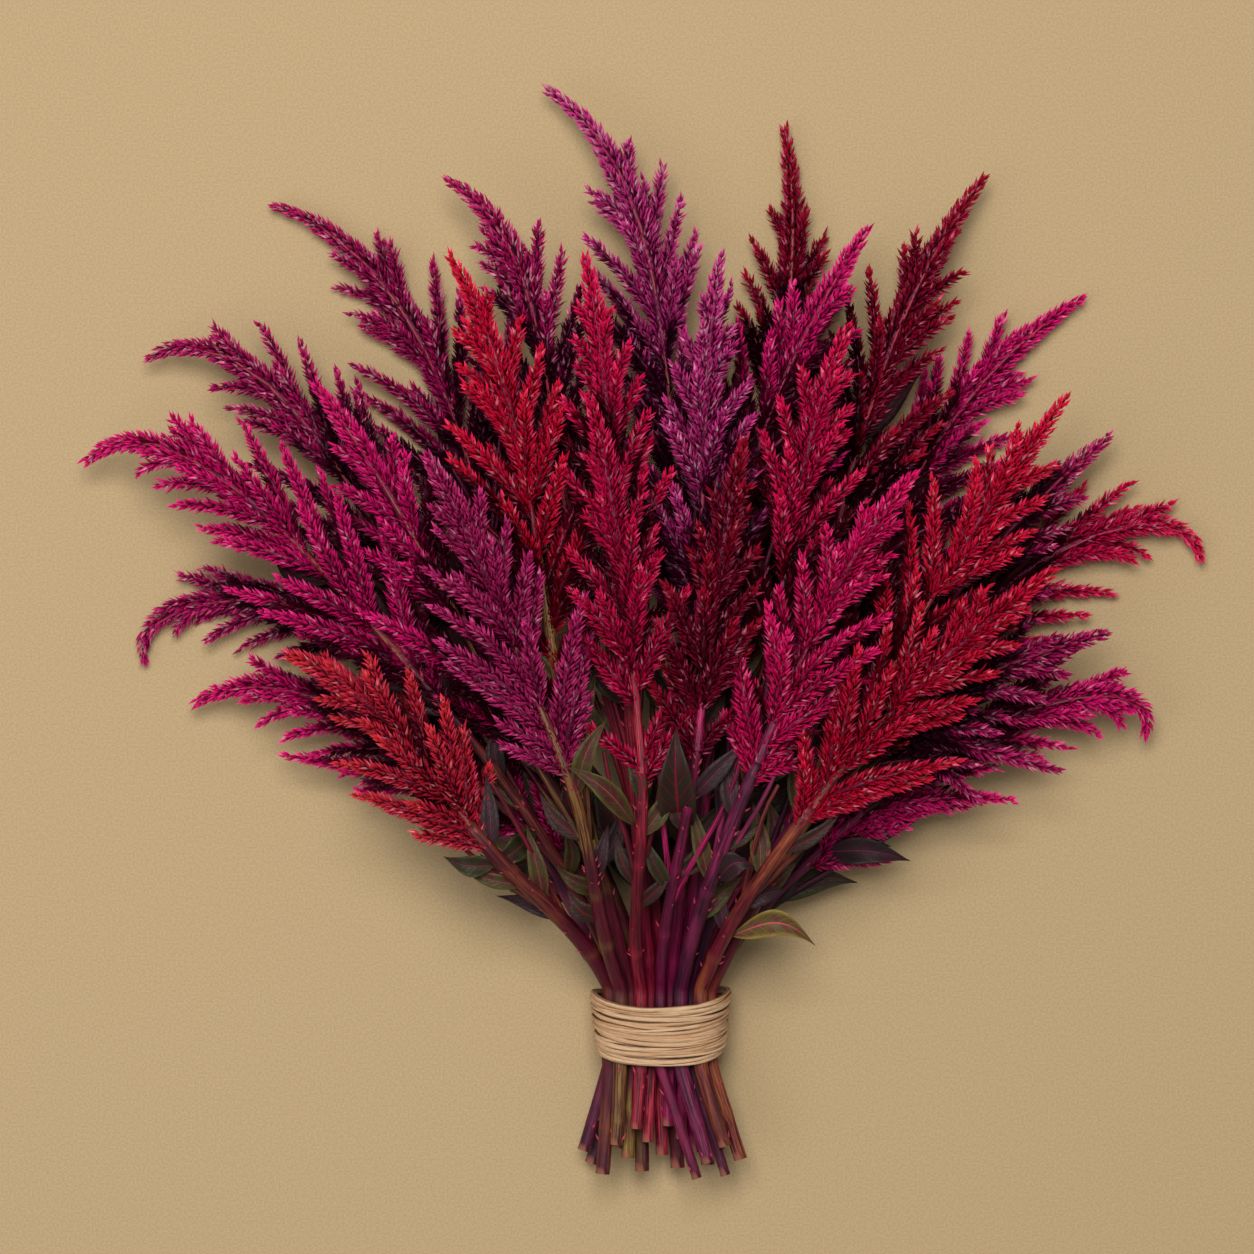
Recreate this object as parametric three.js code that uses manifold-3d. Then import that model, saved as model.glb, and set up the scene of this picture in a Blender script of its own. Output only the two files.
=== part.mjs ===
// A hand-tied bunch of plumed celosia, lying down as it lies on a table.
// Millimetres. +X is right and +Y runs from the tie to the plume tips, seen from above. +Z is up.
// The origin is the middle of the flat foot under the tie, on the surface that the bunch lies on.

import * as THREE from 'three';
import { mergeVertices } from 'three/addons/utils/BufferGeometryUtils.js';
import Module from 'manifold-3d';

const wasm = await Module();
wasm.setup();

// Driving dimensions of the bundle and its tie
const STEM_RADIUS = 4.7;
const STEM_TOP_RADIUS = 3.0;
const PLUME_FOOT_FLARE = 0.4;
const STEM_CUT_RADIUS = 4.05;
const STEM_SIDES = 6;
const STEM_PITCH = 9.0;
const ROW_PITCH = STEM_PITCH * Math.sqrt(3) / 2;
const TIE_WALL = 4.5;
const TIE_CLEARANCE = 0.3;
const TIE_HALF_LENGTH = 18.5;
const TIE_EDGE_ROOM = 1.5;
const TIE_BANDS = 5;
const TIE_BAND_SHIFT = 0.5;
const TIE_GROOVE_DEPTH = 0.9;
const TIE_GROOVE_SHARE = 0.3;
const TIE_CORNER_STEPS = 2;
const JOIN_GAP = 0.3;

// Heights of the five layers that the plumes lie in, from the surface up
const LAYER_BASE = 12;
const LAYER_PITCH = 24;
const BOTTOM_SAG = 3;

// How the stems open out past the tie
const FAN_SPREAD = 0.02;
const FAN_RISE = 0.02;
const STEM_STEPS = 3;

// How the cut ends splay behind the tie
const SPLAY_WIDE = 0.5;
const SPLAY_CROSS = 0.6;
const SPLAY_TALL = 0.05;
const SPLAY_LENGTH = 56;
const CUT_NEAR = -44;
const CUT_FAR = -77;

// Course of a plume's main spike: how firmly it holds its headings, and where its tip starts to hang
const LEAVE_PULL = 1.1;
const END_PULL = 0.9;
const STEM_PULL = 0.9;
const HANG_START = 0.4;
const SAG_LENGTH = 1 / 3;

// Size of the flower spikes, and how they swell and taper along their length
const MAIN_RADIUS = 10;
const MAIN_FLORETS = 4;
const MAIN_ROW_LENGTH = 24.5;
const CORE_SHARE = 0.1;
const CORE_LENGTH = 0.66;
const CORE_CURVE = 0.7;
const SIDE_RADIUS = 6.6;
const SIDE_FLORETS = 3;
const SIDE_ROW_LENGTH = 24.5;
const LONG_SPIKE = 215;
const SIDE_START = 0.1;
const SIDE_FLARE = 0.8;
const SIDE_LIFT = 4.8;
const FIRST_SIDE = 0.02;
const SIDE_STEP = 0.1;
const SIDE_SPAN = 0.46;
const SIDE_SPAN_LOSS = 0.02;
const SIDE_SPAN_VARIETY = 0.04;
const FIRST_REACH = 1.04;
const REACH_LOSS = 0.1;
const REACH_VARIETY = 1.5;
const RADIUS_LOSS = 0.12;
const LOW_START = 0.02;
const LOW_STEP = 0.02;
const LOW_PULL = 0.5;
const LOW_DROOP = 8;
const SIDE_ROOT_RADIUS = 2;
const WIDEST = 0.3;
const FOOT_SHARE = 0.66;
const TIP_LOSS = 0.74;
const TIP_CURVE = 1.25;
const FIRST_ROW = 0.45;
const LAST_ROW_ROOM = 0.35;
const HOLLOW_DEPTH = 0.42;
const FLORET_LEAN = 0.45;
const FLORET_VARIETY = 0.13;

// Colours and roughness
const FLORET_ROUGHNESS = 0.6;
const STEM_ROUGHNESS = 0.5;
const LEAF_ROUGHNESS = 0.6;
const RAFFIA_ROUGHNESS = 0.8;
const RAFFIA_TINT = '#c8a578';
const STEM_TINTS = ['#6e1444', '#54182f', '#8a3b2a', '#6b5228', '#7d1837'];
const PLUME_TINTS = {
  crimson: '#96052d',
  red: '#b01024',
  magenta: '#a5085a',
  pink: '#bb0d66',
  plum: '#5f0541',
  violet: '#6b1a5e',
  mauve: '#84305f',
  wine: '#600a22',
  orange: '#b8302a',
};

// One entry for each flowering stem, bottom layer first and left to right in each layer.
// base and tip are the ends of the main spike, leave and end its headings there in degrees
// clockwise from +Y, reach how far the side spikes stand off and droop how far the tip hangs.
// low gives the tips of spikes that branch off near the base, below the others.
const LAYERS = [
  [
    { base: [-98, 158], leave: -14, tip: [-264, 187], end: -190, reach: 26, droop: 2, tint: 'plum' },
    { base: [-85, 219], leave: -6, tip: [-194, 416], end: -72, reach: 30, droop: 0, tint: 'plum' },
    { base: [46, 230], leave: 8, tip: [64, 454], end: -10, reach: 28, droop: 0, tint: 'wine' },
    { base: [102, 220], leave: 22, tip: [213, 368], end: 60, reach: 29, droop: 0, tint: 'magenta' },
    { base: [124, 166], leave: 26, tip: [276, 238], end: 163, reach: 27, droop: 0, tint: 'crimson' },
  ],
  [
    {
      base: [-88, 118], leave: -54, tip: [-235, 164], end: -122, reach: 26, droop: 20, tint: 'magenta',
      low: [[-191, 137], [-154, 119]],
    },
    { base: [-120, 207], leave: -26, tip: [-258, 340], end: -116, reach: 28, droop: 18, tint: 'plum' },
    { base: [13, 237], leave: -8, tip: [-54, 473], end: -54, reach: 30, droop: 18, tint: 'violet' },
    { base: [88, 245], leave: 12, tip: [163, 428], end: 38, reach: 27, droop: 16, tint: 'wine' },
    { base: [124, 182], leave: 32, tip: [226, 297], end: 52, reach: 27, droop: 12, tint: 'plum' },
    { base: [112, 118], leave: 44, tip: [247, 149], end: 188, reach: 26, droop: 18, tint: 'magenta' },
  ],
  [
    { base: [-131, 188], leave: -42, tip: [-290, 287], end: -128, reach: 27, droop: 36, tint: 'magenta' },
    { base: [-84, 174], leave: -28, tip: [-172, 322], end: -38, reach: 26, droop: 0, tint: 'magenta' },
    { base: [-46, 250], leave: -10, tip: [-105, 426], end: -58, reach: 28, droop: 26, tint: 'plum' },
    { base: [38, 250], leave: 10, tip: [102, 400], end: 32, reach: 28, droop: 8, tint: 'magenta' },
    {
      base: [108, 146], leave: 50, tip: [222, 198], end: 76, reach: 26, droop: 12, tint: 'plum',
      low: [[200, 130], [160, 115]],
    },
  ],
  [
    { base: [-95, 104], leave: -36, tip: [-185, 188], end: -74, reach: 24, droop: 4, tint: 'orange' },
    { base: [-56, 205], leave: -8, tip: [-103, 383], end: -30, reach: 28, droop: 0, tint: 'red' },
    { base: [-20, 225], leave: -3, tip: [-37, 383], end: -10, reach: 19, droop: 0, tint: 'crimson' },
    { base: [19, 215], leave: 2, tip: [29, 383], end: 10, reach: 21, droop: 0, tint: 'violet' },
    { base: [58, 205], leave: 8, tip: [92, 350], end: 24, reach: 25, droop: 0, tint: 'crimson' },
    { base: [108, 170], leave: 28, tip: [200, 314], end: 38, reach: 28, droop: 16, tint: 'red' },
  ],
  [
    { base: [-50, 140], leave: -24, tip: [-115, 285], end: -32, reach: 27, droop: 0, tint: 'mauve' },
    { base: [-10, 138], leave: -5, tip: [-34, 310], end: -14, reach: 21, droop: 0, tint: 'crimson' },
    { base: [18, 148], leave: 5, tip: [40, 293], end: 12, reach: 18, droop: 0, tint: 'wine' },
    { base: [47, 136], leave: 22, tip: [122, 275], end: 40, reach: 24, droop: 0, tint: 'pink' },
    { base: [74, 114], leave: 36, tip: [190, 228], end: 54, reach: 26, droop: 4, tint: 'red' },
  ],
];

// Leaves that are nodes of their own, seated on a stem: the share of the stem where they sit,
// where their tips reach, how wide they are and how far they arch
const LEAVES = [
  { layer: 4, place: 4, along: 0.28, tip: [77, 43, 66], width: 15, arch: 6, tint: '#5b5a3a' },
  { layer: 3, place: 3, along: 0.38, tip: [5, 160, 93], width: 15, arch: 2, tint: '#3b2a26' },
  { layer: 4, place: 1, along: 0.72, tip: [-44, 130, 117], width: 12, arch: 5, tint: '#55512f' },
  { layer: 4, place: 3, along: 0.5, tip: [46, 84, 99], width: 12, arch: 6, tint: '#4a3a3c' },
  { layer: 3, place: 0, along: 0.78, tip: [-108, 88, 76], width: 10, arch: 4, tint: '#39412c' },
];

// Leaves that are one piece with their stems
const STEM_LEAVES = [
  { layer: 1, place: 0, along: 0.62, tip: [-92, 78, 30], width: 9, arch: 4 },
  { layer: 1, place: 5, along: 0.66, tip: [126, 84, 40], width: 13, arch: 5 },
  { layer: 3, place: 4, along: 0.55, tip: [58, 148, 92], width: 13, arch: 4 },
  { layer: 3, place: 1, along: 0.4, tip: [-48, 128, 88], width: 12, arch: 4 },
  { layer: 2, place: 0, along: 0.45, tip: [-86, 84, 66], width: 11, arch: 4 },
];
const LEAF_THICKNESS = 0.9;
const LEAF_STATIONS = 4;
const LEAF_FOLD = 0.16;
const LEAF_NECK = 0.3;
const LEAF_FULLNESS = 0.85;

const UP = new THREE.Vector3(0, 0, 1);
const ROW_COUNT = LAYERS.length;
const BUNDLE_FLOOR = TIE_WALL + TIE_CLEARANCE + STEM_RADIUS;
const BUNDLE_MIDDLE = BUNDLE_FLOOR + ROW_PITCH * (ROW_COUNT - 1) / 2;

// Evenly scattered value between -1 and 1 for the step of a seed
function vary(seed, step) {
  const turn = (seed * 0.7548777 + step * 0.6180340) % 1;
  return 2 * turn - 1;
}

function smooth(t) {
  return t * t * (3 - 2 * t);
}

// Unit vector on a heading in degrees clockwise from +Y, level with the surface
function headingVector(degrees) {
  const angle = THREE.MathUtils.degToRad(degrees);
  return new THREE.Vector3(Math.sin(angle), Math.cos(angle), 0);
}

// Point at t on the smooth curve from p0 to p1 that leaves along m0 and arrives along m1
function hermite(p0, m0, p1, m1, t) {
  const t2 = t * t;
  const t3 = t2 * t;
  return new THREE.Vector3()
    .addScaledVector(p0, 2 * t3 - 3 * t2 + 1)
    .addScaledVector(m0, t3 - 2 * t2 + t)
    .addScaledVector(p1, 3 * t2 - 2 * t3)
    .addScaledVector(m1, t3 - t2);
}

// Place, direction and the two cross directions of a curve at t
function frameAt(curve, t) {
  const step = 0.01;
  const place = curve(t);
  const ahead = curve(t + step).sub(curve(t - step)).normalize();
  const across = new THREE.Vector3().crossVectors(UP, ahead).normalize();
  const over = new THREE.Vector3().crossVectors(ahead, across);
  return { place, ahead, across, over };
}

// Corner of an oval ring round a curve's frame, pushed ahead along the curve
function cornerAt(frame, angle, wide, thick, push) {
  return frame.place.clone()
    .addScaledVector(frame.across, wide * Math.cos(angle))
    .addScaledVector(frame.over, thick * Math.sin(angle))
    .addScaledVector(frame.ahead, push);
}

// Closed skin over rings of equal length, with a fan to a point at each end
function skin(rings, startPoint, endPoint, splitsRise) {
  const size = rings[0].length;
  const corners = rings.flat();
  const faces = [];
  for (let row = 0; row < rings.length - 1; row += 1) {
    for (let c = 0; c < size; c += 1) {
      const a = row * size + c;
      const b = row * size + (c + 1) % size;
      const d = a + size;
      const e = b + size;
      if (splitsRise(row, c)) {
        faces.push(a, b, e, a, e, d);
      } else {
        faces.push(a, b, d, b, e, d);
      }
    }
  }
  const start = corners.length;
  const end = start + 1;
  const last = (rings.length - 1) * size;
  corners.push(startPoint, endPoint);
  for (let c = 0; c < size; c += 1) {
    const next = (c + 1) % size;
    faces.push(start, next, c);
    faces.push(end, last + c, last + next);
  }
  const geometry = new THREE.BufferGeometry();
  const numbers = corners.flatMap((corner) => corner.toArray());
  geometry.setAttribute('position', new THREE.Float32BufferAttribute(numbers, 3));
  geometry.setIndex(faces);
  return geometry;
}

function solidOf(geometry) {
  const bare = geometry.clone();
  bare.deleteAttribute('normal');
  bare.deleteAttribute('uv');
  const merged = mergeVertices(bare, 1e-5);
  return new wasm.Manifold(new wasm.Mesh({
    numProp: 3,
    vertProperties: new Float32Array(merged.attributes.position.array),
    triVerts: new Uint32Array(merged.index.array),
  }));
}

function geometryOf(solid) {
  const mesh = solid.getMesh();
  const geometry = new THREE.BufferGeometry();
  geometry.setAttribute('position', new THREE.BufferAttribute(new Float32Array(mesh.vertProperties), 3));
  geometry.setIndex(new THREE.BufferAttribute(new Uint32Array(mesh.triVerts), 1));
  return geometry;
}

// Swelling of a spike along its length, 1 at its widest
function swell(t) {
  if (t < WIDEST) {
    return FOOT_SHARE + (1 - FOOT_SHARE) * Math.sin(t / WIDEST * Math.PI / 2);
  }
  return 1 - TIP_LOSS * ((t - WIDEST) / (1 - WIDEST)) ** TIP_CURVE;
}

// Flower spike: florets raised from its surface, each row set between those of the row below.
// thick gives its half thickness at t, and wide its half width across the bunch.
function spike({ curve, length, thick, wide, rootRadius, florets, rowLength, seed }) {
  const rows = Math.max(3, Math.round(length / rowLength));
  const size = 2 * florets;
  const rings = [];
  for (let row = 0; row <= rows; row += 1) {
    const t = Math.max(0, (row - FIRST_ROW) / (rows + LAST_ROW_ROOM));
    const frame = frameAt(curve, t);
    rings.push(Array.from({ length: size }, (_, c) => {
      const angle = c / size * 2 * Math.PI;
      if (row === 0) {
        return cornerAt(frame, angle, rootRadius, rootRadius, 0);
      }
      if ((row + c) % 2 === 0) {
        const long = 1 + FLORET_VARIETY * vary(seed, row * size + c);
        return cornerAt(frame, angle, wide(t) * long, thick(t) * long, FLORET_LEAN * length / rows);
      }
      const low = 1 - HOLLOW_DEPTH;
      return cornerAt(frame, angle, wide(t) - thick(t) * HOLLOW_DEPTH, thick(t) * low, 0);
    }));
  }
  return skin(rings, curve(0), curve(1), (row, c) => (row + c) % 2 !== 0);
}

// Centre line of a plume's main spike
function mainCurve(head, layer) {
  const height = LAYER_BASE + LAYER_PITCH * layer;
  const base = new THREE.Vector3(...head.base, height);
  const tip = new THREE.Vector3(...head.tip, height);
  const chord = base.distanceTo(tip);
  const leave = headingVector(head.leave).multiplyScalar(chord * LEAVE_PULL);
  const end = headingVector(head.end).multiplyScalar(chord * END_PULL);
  const sag = layer === 0 ? BOTTOM_SAG : 0;
  return (t) => {
    const inside = Math.min(Math.max(t, 0), 1);
    const place = hermite(base, leave, tip, end, inside);
    place.addScaledVector(leave, Math.min(t, 0));
    place.addScaledVector(end, Math.max(t - 1, 0));
    const hang = Math.max(0, (inside - HANG_START) / (1 - HANG_START)) ** 2;
    place.z -= head.droop * hang + sag * smooth(Math.min(1, inside / SAG_LENGTH));
    return place;
  };
}

function curveLength(curve) {
  const steps = 24;
  let total = 0;
  for (let i = 0; i < steps; i += 1) {
    total += curve(i / steps).distanceTo(curve((i + 1) / steps));
  }
  return total;
}

// Centre lines of the side spikes, which leave the main one low down and run up beside it
function sideCurves(head, main, length, seed, lift) {
  const count = length > LONG_SPIKE ? 6 : 5;
  const firstSide = seed % 2 === 0 ? 1 : -1;
  return Array.from({ length: count }, (_, i) => {
    const from = FIRST_SIDE + SIDE_STEP * i;
    const span = SIDE_SPAN - SIDE_SPAN_LOSS * i + SIDE_SPAN_VARIETY * vary(seed, i);
    const side = i % 2 === 0 ? firstSide : -firstSide;
    const reach = head.reach * (FIRST_REACH - REACH_LOSS * i) + REACH_VARIETY * vary(seed + 3, i);
    return (v) => {
      const u = SIDE_START + (1 - SIDE_START) * v;
      const frame = frameAt(main, from + span * u);
      const off = side * reach * Math.sin(Math.min(Math.max(u, 0) ** SIDE_FLARE, 1) * Math.PI / 2);
      return frame.place
        .addScaledVector(frame.across, off)
        .addScaledVector(UP, lift * smooth(Math.min(Math.max(u, 0), 1)));
    };
  });
}

// Centre lines of the spikes that branch off near the base and spread out low beside the plume
function lowCurves(head, main) {
  return (head.low ?? []).map((end, i) => {
    const fork = frameAt(main, LOW_START + LOW_STEP * i);
    const tip = new THREE.Vector3(...end, fork.place.z - LOW_DROOP);
    const aim = tip.clone().sub(fork.place);
    const out = fork.ahead.clone().multiplyScalar(aim.length() * LOW_PULL);
    return (t) => hermite(fork.place, out, tip, aim, t);
  });
}

// Whole flower head: the main spike with its side spikes fused into it
function plume(head, layer, place, seed) {
  const main = mainCurve(head, layer);
  const length = curveLength(main);
  const lift = place % 2 === 0 ? SIDE_LIFT : -SIDE_LIFT;
  const thick = (t) => MAIN_RADIUS * swell(t);
  const core = (t) => Math.sin(Math.PI * Math.min(1, t / CORE_LENGTH) ** CORE_CURVE);
  let solid = solidOf(spike({
    curve: main,
    length,
    thick,
    wide: (t) => thick(t) + head.reach * CORE_SHARE * core(t),
    rootRadius: STEM_TOP_RADIUS + PLUME_FOOT_FLARE,
    florets: MAIN_FLORETS,
    rowLength: MAIN_ROW_LENGTH,
    seed,
  }));
  const sides = [...sideCurves(head, main, length, seed, lift), ...lowCurves(head, main)];
  sides.forEach((curve, i) => {
    const radius = (t) => (SIDE_RADIUS - RADIUS_LOSS * i) * swell(t);
    solid = solid.add(solidOf(spike({
      curve,
      length: curveLength(curve),
      thick: radius,
      wide: radius,
      rootRadius: SIDE_ROOT_RADIUS,
      florets: SIDE_FLORETS,
      rowLength: SIDE_ROW_LENGTH,
      seed: seed + 40 * (i + 1),
    })));
  });
  if (layer === 0) {
    solid = solid.subtract(belowSurface());
  }
  return geometryOf(solid);
}

function belowSurface() {
  const width = 1200;
  const depth = 40;
  const slab = new THREE.BoxGeometry(width, width, depth);
  slab.translate(0, 0, -depth / 2);
  return solidOf(slab);
}

// Where a stem passes through the tie
function slotOf(layer, place) {
  const count = LAYERS[layer].length;
  return {
    x: (place - (count - 1) / 2) * STEM_PITCH,
    z: BUNDLE_FLOOR + layer * ROW_PITCH,
  };
}

// Centre line of a stem from the tie's upper edge at 0 to the foot of its plume at 1
function stemCurve(layer, place) {
  const head = LAYERS[layer][place];
  const slot = slotOf(layer, place);
  const height = LAYER_BASE + LAYER_PITCH * layer;
  const start = new THREE.Vector3(slot.x, TIE_HALF_LENGTH + TIE_EDGE_ROOM, slot.z);
  const leave = headingVector(head.leave);
  const end = new THREE.Vector3(...head.base, height).addScaledVector(leave, -JOIN_GAP);
  const span = start.distanceTo(end);
  const out = new THREE.Vector3(slot.x * FAN_SPREAD, 1, (slot.z - BUNDLE_FLOOR) * FAN_RISE);
  out.multiplyScalar(span * STEM_PULL);
  const arrive = leave.clone().multiplyScalar(span * STEM_PULL);
  return (t) => {
    const inside = Math.min(Math.max(t, 0), 1);
    return hermite(start, out, end, arrive, inside)
      .addScaledVector(out, Math.min(t, 0))
      .addScaledVector(arrive, Math.max(t - 1, 0));
  };
}

// Point of a stem at or behind the tie, where the cut ends splay and cross
function splayPoint(slot, y) {
  const share = Math.max(0, (-y - TIE_HALF_LENGTH - TIE_EDGE_ROOM) / SPLAY_LENGTH);
  const above = slot.z - BUNDLE_MIDDLE;
  return new THREE.Vector3(
    slot.x * (1 + SPLAY_WIDE * share) + above * SPLAY_CROSS * share,
    y,
    BUNDLE_MIDDLE + above * (1 + SPLAY_TALL * share),
  );
}

function stem(layer, place, seed) {
  const slot = slotOf(layer, place);
  const curve = stemCurve(layer, place);
  const cut = THREE.MathUtils.lerp(CUT_NEAR, CUT_FAR, 0.5 + 0.5 * vary(seed, 5));
  const behind = [splayPoint(slot, cut), splayPoint(slot, -TIE_HALF_LENGTH - TIE_EDGE_ROOM)];
  const upper = Array.from({ length: STEM_STEPS + 1 }, (_, i) => curve(i / STEM_STEPS));
  const centres = [...behind, ...upper];
  const radii = centres.map((_, i) => {
    if (i === 0) {
      return STEM_CUT_RADIUS;
    }
    return stemRadius((i - 2) / STEM_STEPS);
  });
  const rings = centres.map((centre, i) => {
    const before = centres[Math.max(i - 1, 0)];
    const after = centres[Math.min(i + 1, centres.length - 1)];
    const isTop = i === centres.length - 1;
    const ahead = isTop ? frameAt(curve, 1).ahead : after.clone().sub(before).normalize();
    const across = new THREE.Vector3().crossVectors(UP, ahead).normalize();
    const over = new THREE.Vector3().crossVectors(ahead, across);
    const frame = { place: centre, ahead, across, over };
    return Array.from({ length: STEM_SIDES }, (_, c) => {
      const angle = (c + 0.5) / STEM_SIDES * 2 * Math.PI;
      return cornerAt(frame, angle, radii[i], radii[i], 0);
    });
  });
  const rod = skin(rings, centres[0], centres[centres.length - 1], () => false);
  const leaves = STEM_LEAVES.filter((spec) => spec.layer === layer && spec.place === place);
  if (leaves.length === 0) {
    return rod;
  }
  return geometryOf(leaves.reduce((solid, spec) => solid.add(solidOf(leaf(spec, true))), solidOf(rod)));
}

// Outline round the bundle at a distance from the outer stems' centres, anticlockwise
function bundleOutline(offset) {
  const high = ROW_PITCH * (ROW_COUNT - 1) / 2;
  const wide = STEM_PITCH * 2.5;
  const narrow = STEM_PITCH * 2;
  const hull = [
    [narrow, -high], [wide, -high / 2], [wide, high / 2], [narrow, high],
    [-narrow, high], [-wide, high / 2], [-wide, -high / 2], [-narrow, -high],
  ];
  return hull.flatMap(([x, z], i) => {
    const [px, pz] = hull[(i + hull.length - 1) % hull.length];
    const [nx, nz] = hull[(i + 1) % hull.length];
    const from = Math.atan2(z - pz, x - px) - Math.PI / 2;
    const turn = Math.atan2(nz - z, nx - x) - Math.PI / 2 - from;
    const swing = Math.atan2(Math.sin(turn), Math.cos(turn));
    return Array.from({ length: TIE_CORNER_STEPS }, (_, k) => {
      const angle = from + swing * k / (TIE_CORNER_STEPS - 1);
      return [x + offset * Math.cos(angle), BUNDLE_MIDDLE + z + offset * Math.sin(angle)];
    });
  });
}

// Raffia tie: a ring of banded wraps round the bundle, flat where it lies on the surface
function raffiaTie() {
  const inner = STEM_RADIUS + TIE_CLEARANCE;
  const outer = inner + TIE_WALL;
  const band = 2 * TIE_HALF_LENGTH / TIE_BANDS;
  const profile = [];
  for (let i = 0; i < TIE_BANDS; i += 1) {
    const start = -TIE_HALF_LENGTH + i * band + TIE_BAND_SHIFT;
    profile.push([start + band * TIE_GROOVE_SHARE / 2, outer]);
    profile.push([start + band * (1 - TIE_GROOVE_SHARE / 2), outer]);
    if (i < TIE_BANDS - 1) {
      profile.push([start + band, outer - TIE_GROOVE_DEPTH]);
    }
  }
  profile.push([TIE_HALF_LENGTH, outer - TIE_GROOVE_DEPTH]);
  profile.push([TIE_HALF_LENGTH, inner]);
  profile.push([-TIE_HALF_LENGTH, inner]);
  profile.push([-TIE_HALF_LENGTH, outer - TIE_GROOVE_DEPTH]);
  const rings = profile.map(([y, offset]) => {
    return bundleOutline(offset).map(([x, z]) => new THREE.Vector3(x, y, z));
  });
  const size = rings[0].length;
  const faces = [];
  rings.forEach((_, row) => {
    const nextRow = (row + 1) % rings.length;
    for (let c = 0; c < size; c += 1) {
      const a = row * size + c;
      const b = row * size + (c + 1) % size;
      const d = nextRow * size + c;
      const e = nextRow * size + (c + 1) % size;
      faces.push(a, d, b, b, d, e);
    }
  });
  const geometry = new THREE.BufferGeometry();
  const numbers = rings.flat().flatMap((corner) => corner.toArray());
  geometry.setAttribute('position', new THREE.Float32BufferAttribute(numbers, 3));
  geometry.setIndex(faces);
  return geometry;
}

function stemRadius(t) {
  return THREE.MathUtils.lerp(STEM_RADIUS, STEM_TOP_RADIUS, smooth(Math.max(0, t)));
}

// Lance-shaped leaf, folded along its midrib and arched. It starts clear of the stem's surface,
// or at the stem's middle where it is one piece with it.
function leaf(spec, isFused) {
  const seat = frameAt(stemCurve(spec.layer, spec.place), spec.along);
  const tip = new THREE.Vector3(...spec.tip);
  const aside = tip.clone().sub(seat.place);
  aside.addScaledVector(seat.ahead, -aside.dot(seat.ahead)).normalize();
  const flat = stemRadius(spec.along) * Math.cos(Math.PI / STEM_SIDES);
  const off = isFused ? 0 : flat + JOIN_GAP + LEAF_THICKNESS / 2;
  const start = seat.place.clone().addScaledVector(aside, off);
  const along = tip.clone().sub(start).normalize();
  const across = new THREE.Vector3().crossVectors(UP, along).normalize();
  const rings = [];
  for (let i = 0; i < LEAF_STATIONS; i += 1) {
    const t = (i + LEAF_NECK) / (LEAF_STATIONS - 1 + 2 * LEAF_NECK);
    const half = spec.width / 2 * Math.sin(Math.PI * t ** LEAF_FULLNESS) + LEAF_THICKNESS / 2;
    const middle = start.clone().lerp(tip, t);
    middle.z += spec.arch * Math.sin(Math.PI * t);
    const fold = half * LEAF_FOLD;
    const thick = LEAF_THICKNESS / 2;
    rings.push([
      [half, fold + thick], [0, thick], [-half, fold + thick],
      [-half, fold - thick], [0, -thick], [half, fold - thick],
    ].map(([side, rise]) => middle.clone().addScaledVector(across, side).addScaledVector(UP, rise)));
  }
  return skin(rings, start, tip, () => false);
}

function named(name, geometry, colour, roughness) {
  const material = new THREE.MeshStandardMaterial({ color: colour, roughness, metalness: 0 });
  const mesh = new THREE.Mesh(geometry, material);
  mesh.name = name;
  return mesh;
}

function numbered(kind, number) {
  return `${kind}_${String(number).padStart(2, '0')}`;
}

const bunch = new THREE.Group();
let number = 0;
LAYERS.forEach((heads, layer) => {
  heads.forEach((head, place) => {
    number += 1;
    const flower = plume(head, layer, place, number);
    const rod = stem(layer, place, number);
    const stemTint = STEM_TINTS[number % STEM_TINTS.length];
    bunch.add(named(numbered('plume', number), flower, PLUME_TINTS[head.tint], FLORET_ROUGHNESS));
    bunch.add(named(numbered('stem', number), rod, stemTint, STEM_ROUGHNESS));
  });
});
LEAVES.forEach((spec, i) => {
  bunch.add(named(numbered('leaf', i + 1), leaf(spec, false), spec.tint, LEAF_ROUGHNESS));
});
bunch.add(named('raffia_tie', raffiaTie(), RAFFIA_TINT, RAFFIA_ROUGHNESS));

export default bunch;
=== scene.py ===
"""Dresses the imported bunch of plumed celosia: florets, ribbed stems, veined leaves and the raffia tie."""

from dataclasses import dataclass, field, fields
from enum import Enum
import logging
import math
from typing import Callable, Optional, Sequence, Union

import bpy
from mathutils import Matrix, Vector
import numpy as np


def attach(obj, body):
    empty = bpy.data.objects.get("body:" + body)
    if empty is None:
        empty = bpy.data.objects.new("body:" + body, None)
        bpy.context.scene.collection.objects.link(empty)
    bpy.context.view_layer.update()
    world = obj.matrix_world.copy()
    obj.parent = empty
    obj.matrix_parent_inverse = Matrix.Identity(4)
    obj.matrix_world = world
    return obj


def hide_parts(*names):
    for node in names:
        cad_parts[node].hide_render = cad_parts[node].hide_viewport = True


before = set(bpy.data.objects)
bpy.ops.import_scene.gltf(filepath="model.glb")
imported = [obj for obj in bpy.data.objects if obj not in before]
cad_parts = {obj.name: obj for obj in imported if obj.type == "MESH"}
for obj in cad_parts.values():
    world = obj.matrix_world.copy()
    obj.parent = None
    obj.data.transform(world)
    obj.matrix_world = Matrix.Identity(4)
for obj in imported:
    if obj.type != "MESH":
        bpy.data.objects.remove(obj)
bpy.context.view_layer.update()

logging.basicConfig(level=logging.INFO, format="%(message)s")
log = logging.getLogger("celosia")

Array = np.ndarray
Colour = tuple[float, float, float]

MM = 0.001
TURN = 2.0 * math.pi
GOLDEN_TURN = math.radians(137.508)
UP = np.array([0.0, 0.0, 1.0])
FLOOR_ROOM = 0.15 * MM


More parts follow.
